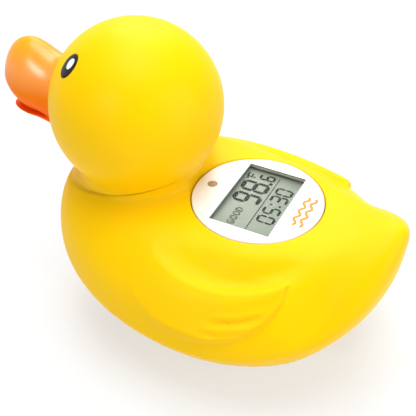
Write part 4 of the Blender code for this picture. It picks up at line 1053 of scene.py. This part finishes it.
def digit(figure, left, right, top, bottom, level_width, upright_width, gap):
    """The lit bars of one seven-bar figure between shares of the display's width and height."""
    x0, x1 = left * VIEW_W + upright_width / 2.0, right * VIEW_W - upright_width / 2.0
    y0, y1 = -bottom * VIEW_L + level_width / 2.0, -top * VIEW_L - level_width / 2.0
    shapes = []
    for name in LIT[figure]:
        ends = [np.array([x0 + (x1 - x0) * sx, y0 + (y1 - y0) * sy]) for sx, sy in SEGMENTS[name]]
        along = (ends[1] - ends[0]) / np.linalg.norm(ends[1] - ends[0])
        width = level_width if name in "adg" else upright_width
        shapes.append(bar(ends[0] + along * gap, ends[1] - along * gap, width))
    return shapes


def digits(figures, bars):
    """The bars of several figures that share their bars' widths and gap."""
    return [shape for figure in figures for shape in digit(*figure, *bars)]


def stroke(points, width):
    """A flat ribbon along a line of text points: half the width to each side of every point."""
    points = np.array(points, float)
    along = np.gradient(points, axis=0)
    along /= np.linalg.norm(along, axis=1, keepdims=True)
    across = np.stack([-along[:, 1], along[:, 0]], -1) * width / 2.0
    return np.concatenate([points + across, (points - across)[::-1]]).tolist()


def arc(centre, radii, start, end, count=14):
    """Points of an oval arc between two angles in degrees."""
    turn = np.radians(np.linspace(start, end, count))
    return np.stack([centre[0] + radii[0] * np.cos(turn), centre[1] + radii[1] * np.sin(turn)], -1)


def to_duck(shapes):
    """Text points (right, up) on the display, as (x, y) places over the duck's back."""
    left, top = VIEW_W / 2.0 - FIGURES_RIGHT, VIEW_Y - VIEW_L / 2.0 - FIGURES_UP
    return [[(left - x, top - y) for x, y in shape] for shape in shapes]


def make_figures(ink, pale_ink):
    """Temperature, unit, clock, word and dividing line shown by the display."""
    point_x, point_y = POINT_PLACE[0] * VIEW_W, -POINT_PLACE[1] * VIEW_L
    corners = ((-1, -1), (1, -1), (1, 1), (-1, 1))
    large = digits(LARGE_FIGURES, LARGE_BARS)
    large.append([(point_x + dx * POINT_HALF, point_y + dy * POINT_HALF) for dx, dy in corners])
    large += digits(SMALL_FIGURES, SMALL_BARS)
    clock = digits(CLOCK_FIGURES, CLOCK_BARS)
    for down in COLON_DOWN:
        clock.append(arc((COLON_RIGHT * VIEW_W, -down * VIEW_L), (COLON_R, COLON_R), 0.0, 340.0, 12))
    line = [(side * VIEW_W, -LINE_DOWN * VIEW_L) for side in LINE_SIDES]
    shown = (("temperature_figures", large, ink), ("clock_figures", clock, ink),
             ("unit_letter", unit_strokes(), ink), ("dividing_line", [stroke(line, LINE_STROKE)], ink),
             ("status_word", word_strokes(), pale_ink))
    for name, shapes, colour in shown:
        plates(name, to_duck(shapes), LCD_TOP + INK_LIFT, INK_T, colour, "black_gloss")


def unit_strokes():
    """The degree ring and the letter F, right of the temperature."""
    top, bottom = [-down * VIEW_L for down in UNIT_LEVELS]
    left, right = [side * VIEW_W for side in UNIT_SIDES]
    middle = (top + bottom) / 2.0
    lines = ([(left, bottom), (left, top)], [(left, top), (right, top)],
             [(left, middle), (right - UNIT_BAR_SHORT, middle)])
    ring = arc((DEGREE_RIGHT * VIEW_W, top - DEGREE_DOWN), (DEGREE_R, DEGREE_R), 0.0, 350.0, 16)
    return [stroke(line, UNIT_STROKE) for line in lines] + [stroke(ring, DEGREE_STROKE)]


def word_strokes():
    """The word GOOD in thin strokes, left of the temperature."""
    top, bottom = [-down * VIEW_L for down in WORD_LEVELS]
    half = (top - bottom) / 2.0
    middle = (top + bottom) / 2.0
    strokes = []
    for i, letter in enumerate("GOOD"):
        x = WORD_LEFT * VIEW_W + i * (WORD_PITCH * VIEW_W)
        if letter == "D":
            strokes.append(stroke([(x - WORD_HALF, bottom), (x - WORD_HALF, top)], WORD_STROKE))
            bowl = arc((x - WORD_HALF, middle), (2.0 * WORD_HALF, half), 90.0, -90.0)
            strokes.append(stroke(bowl, WORD_STROKE))
        else:
            span = (45.0, 330.0) if letter == "G" else (0.0, 350.0)
            strokes.append(stroke(arc((x, middle), (WORD_HALF, half), *span, 22), WORD_STROKE))
        if letter == "G":
            shelf = middle - WORD_BAR_DROP
            strokes.append(stroke([(x, shelf), (x + WORD_HALF, shelf)], WORD_BAR))
            strokes.append(stroke([(x + WORD_HALF, middle), (x + WORD_HALF, bottom + WORD_FOOT)], WORD_BAR))
    return strokes


def make_mark(orange):
    """Two plain wavy water lines printed on the face behind the display, each a sine along x."""
    strokes = []
    t = np.linspace(0.0, 1.0, 90)
    for offset in (-MARK_APART, MARK_APART):
        x = -MARK_L / 2.0 + MARK_L * t
        y = MARK_Y + offset + MARK_SWING * np.sin(2.0 * math.pi * MARK_WAVES * t)
        strokes.append(stroke(np.stack([x, y], -1), MARK_STROKE))
    plates("water_lines", strokes, FACE_Z + MARK_LIFT, MARK_T, orange, "orange_beak")


def make_face(white, lens):
    """The round white face plate with its window opening and skirt, and the lamp's domed lens.

    The plate's top falls from its middle by the dome times the square of the reach.
    """
    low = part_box("face_plate")[0]
    glass_low, glass_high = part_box("window")
    lamp_low, lamp_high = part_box("light_guide")
    lamp_y = (lamp_low.y + lamp_high.y) / 2.0
    under = glass_high.z - FACE_UNDER
    skirt = FACE_R - SKIRT_T
    bend = np.linspace(0.0, 0.5 * math.pi, 6)
    crown = [(FACE_R * s, FACE_Z + FACE_DOME * (1.0 - s * s)) for s in np.linspace(0.0, 0.97, 12)]
    rim_r, rim_z = FACE_R - FACE_RIM, FACE_Z - FACE_RIM
    rim = [(rim_r + FACE_RIM * math.sin(a), rim_z + FACE_RIM * math.cos(a)) for a in bend]
    inside = [(FACE_R, low.z), (skirt, low.z), (skirt, under), (0.0, under)]
    plate = turned("plate", crown + rim + inside, 160)
    half_w, half_l = VIEW_W / 2.0, VIEW_L / 2.0
    over, below = CUTTER_TOP, LENS_CUT_FOOT
    opening = block((-half_w, VIEW_Y - half_l, under - CUT_CLEAR), (half_w, VIEW_Y + half_l, over))
    pocket = block(glass_low - Vector((GAP, GAP, POCKET_DEPTH)), glass_high + Vector((GAP, GAP, GAP)))
    hole = turned("hole", disc(LENS_HOLE_R, over, below), 48, lamp_y)
    for tool in (opening, pocket, hole):
        plate = carve(plate, tool, "DIFFERENCE")
    piece("white_face", creased(plate, PLATE_SHARP), white, "white_plastic", "face_plate")
    dome = [(LENS_R * math.cos(a) ** 0.5, FACE_Z + LENS_DOME * math.sin(a)) for a in bend[::-1]]
    profile = [(0.0, FACE_Z + LENS_TOP)] + dome + [(LENS_R, lamp_low.z), (0.0, lamp_low.z)]
    piece("lamp_lens", turned("lens", profile, 48, lamp_y), lens, "lamp_lens", "light_guide")


def dress_nodes(finishes):
    """Give every kept node the finish of its material slot."""
    slots = {part["node"]: part["material_slot"] for part in frame["record"]["subparts"]}
    for name, obj in frame["nodes"].items():
        obj.data.materials.clear()
        obj.data.materials.append(finishes[slots[name]])


def make_floor():
    """A white floor that keeps the duck's soft shadow and turns plain white away from it."""
    mesh = bpy.data.meshes.new("floor")
    side = FLOOR_SIDE
    mesh.from_pydata([(-side, -side, 0.0), (side, -side, 0.0), (side, side, 0.0), (-side, side, 0.0)], [],
                     [(0, 1, 2, 3)])
    add_object("floor", mesh)
    finish = Finish("floor_white", Roughness=0.9, Specular_IOR_Level=0.1)
    cloud = finish.noise(FLOOR_CLOUDS, 1.0)
    finish.feed(Base_Color=finish.ramp(cloud, (0.2, (0.80, 0.83, 0.88)), (0.8, (0.81, 0.84, 0.89))))
    white = finish.out("ShaderNodeEmission", None, {"Color": PLAIN_WHITE, "Strength": 1.0})
    away = finish.out("ShaderNodeVectorMath", {"operation": "LENGTH"}, [finish.place()], "Value")
    fade = (away - FLOOR_NEAR) * (1.0 / FLOOR_FADE)
    share = seen_rays(finish) * finish.ramp(fade, (0.0, (FLOOR_WHITE,) * 3), (1.0, (1.0,) * 3))
    both = finish.out("ShaderNodeMixShader", None, [share, Wire(finish, finish.shader.outputs[0]), white])
    finish.plug(finish.output.inputs["Surface"], both)
    mesh.materials.append(finish.material)


def make_surround():
    """A world that looks white and lights the duck softly."""
    world = bpy.data.worlds.new("studio")
    bpy.context.scene.world = world
    surround = Surround(world)
    white = surround.out("ShaderNodeBackground", None, {"Color": PLAIN_WHITE, "Strength": 1.0})
    soft = surround.out("ShaderNodeBackground", None, {"Color": WARM_WHITE, "Strength": SURROUND_LIGHT})
    both = surround.out("ShaderNodeMixShader", None, [seen_rays(surround), soft, white])
    surround.plug(surround.output.inputs["Surface"], both)


def seen_rays(finish):
    """1 for light that reaches the camera straight, mirrored or through a clear piece."""
    path = finish.node("ShaderNodeLightPath")
    names = ("Is Camera Ray", "Is Glossy Ray", "Is Transmission Ray")
    camera, mirrored, through = [Wire(finish, path.outputs[name]) for name in names]
    seen = camera.maths("MAXIMUM", camera, mirrored)
    return seen.maths("MAXIMUM", seen, through)


def soft_lamp(name, place, watts, side):
    """A square lamp that faces the duck."""
    data = bpy.data.lights.new(name, "AREA")
    data.shape = "SQUARE"
    data.size = side
    data.energy = watts
    lamp = add_object(name, data)
    lamp.location = place
    lamp.rotation_euler = (Vector(LAMP_AIM) - Vector(place)).to_track_quat("-Z", "Y").to_euler()


def make_camera():
    """The photograph's camera: its place, its turn and raise, and its angle of view."""
    level = math.cos(VIEW_RAISE)
    back = Vector((math.sin(VIEW_TURN) * level, -math.cos(VIEW_TURN) * level, math.sin(VIEW_RAISE)))
    right = Vector((math.cos(VIEW_TURN), math.sin(VIEW_TURN), 0.0))
    up = back.cross(right)
    data = bpy.data.cameras.new("camera")
    data.sensor_width = SENSOR
    data.lens = FOCAL_PIXELS / PHOTO_SIDE * SENSOR
    data.clip_start = 0.01
    camera = add_object("camera", data)
    place = Matrix((right, up, back)).transposed().to_4x4()
    place.translation = Vector(CAMERA_PLACE)
    camera.matrix_world = place
    bpy.context.scene.camera = camera


bpy.context.scene.view_settings.view_transform = "Standard"
make_camera()
make_floor()
make_surround()
for name, (place, watts, side) in LAMPS.items():
    soft_lamp(name, place, watts, side)

yellow = vinyl("yellow_skin", (1.0, 0.615, 0.0005), (1.0, 0.59, 0.0005), 0.42)
orange = beak_vinyl("orange_beak")
black = plastic("black_gloss", (0.006, 0.005, 0.005), 0.10, Specular_IOR_Level=0.20)
white = plastic("white_plastic", (0.88, 0.88, 0.86), 0.30, 0.01)
pale_ink = plastic("grey_ink", (0.020, 0.023, 0.020), 0.4, Specular_IOR_Level=0.1)
mark_ink = plastic("orange_ink", (0.87, 0.31, 0.055), 0.4, Specular_IOR_Level=0.1)
lens = plastic("lamp_lens", (0.40, 0.27, 0.14), 0.22, 0.08, Specular_IOR_Level=0.2)
ink = plastic("display_ink", (0.008, 0.010, 0.010), 0.35, Specular_IOR_Level=0.05)
finishes = {
    "yellow_skin": yellow,
    "yellow_plastic": plastic("yellow_plastic", (1.0, 0.68, 0.004), 0.34),
    "orange_beak": orange,
    "black_gloss": black,
    "white_plastic": white,
    "window_clear": window_clear(),
    "lamp_lens": lens,
    "display_glass": display_glass(),
    "grey_plastic": plastic("grey_plastic", (0.35, 0.36, 0.37), 0.5, 0.06),
    "grey_silicone": plastic("grey_silicone", (0.30, 0.30, 0.31), 0.68, 0.05),
    "board_green": circuit_board(),
    "black_epoxy": plastic("black_epoxy", (0.015, 0.015, 0.015), 0.3),
    "plated_metal": metal("plated_metal", (0.72, 0.70, 0.66), 0.30),
    "stainless_steel": metal("stainless_steel", (0.68, 0.68, 0.69), 0.24, (1.0, 1.0, 6.0)),
}
dress_nodes(finishes)
make_skin(yellow)
make_beak(orange)
make_eyes(black, white)
make_face(face_white(), lens)
make_figures(ink, pale_ink)
make_mark(mark_ink)
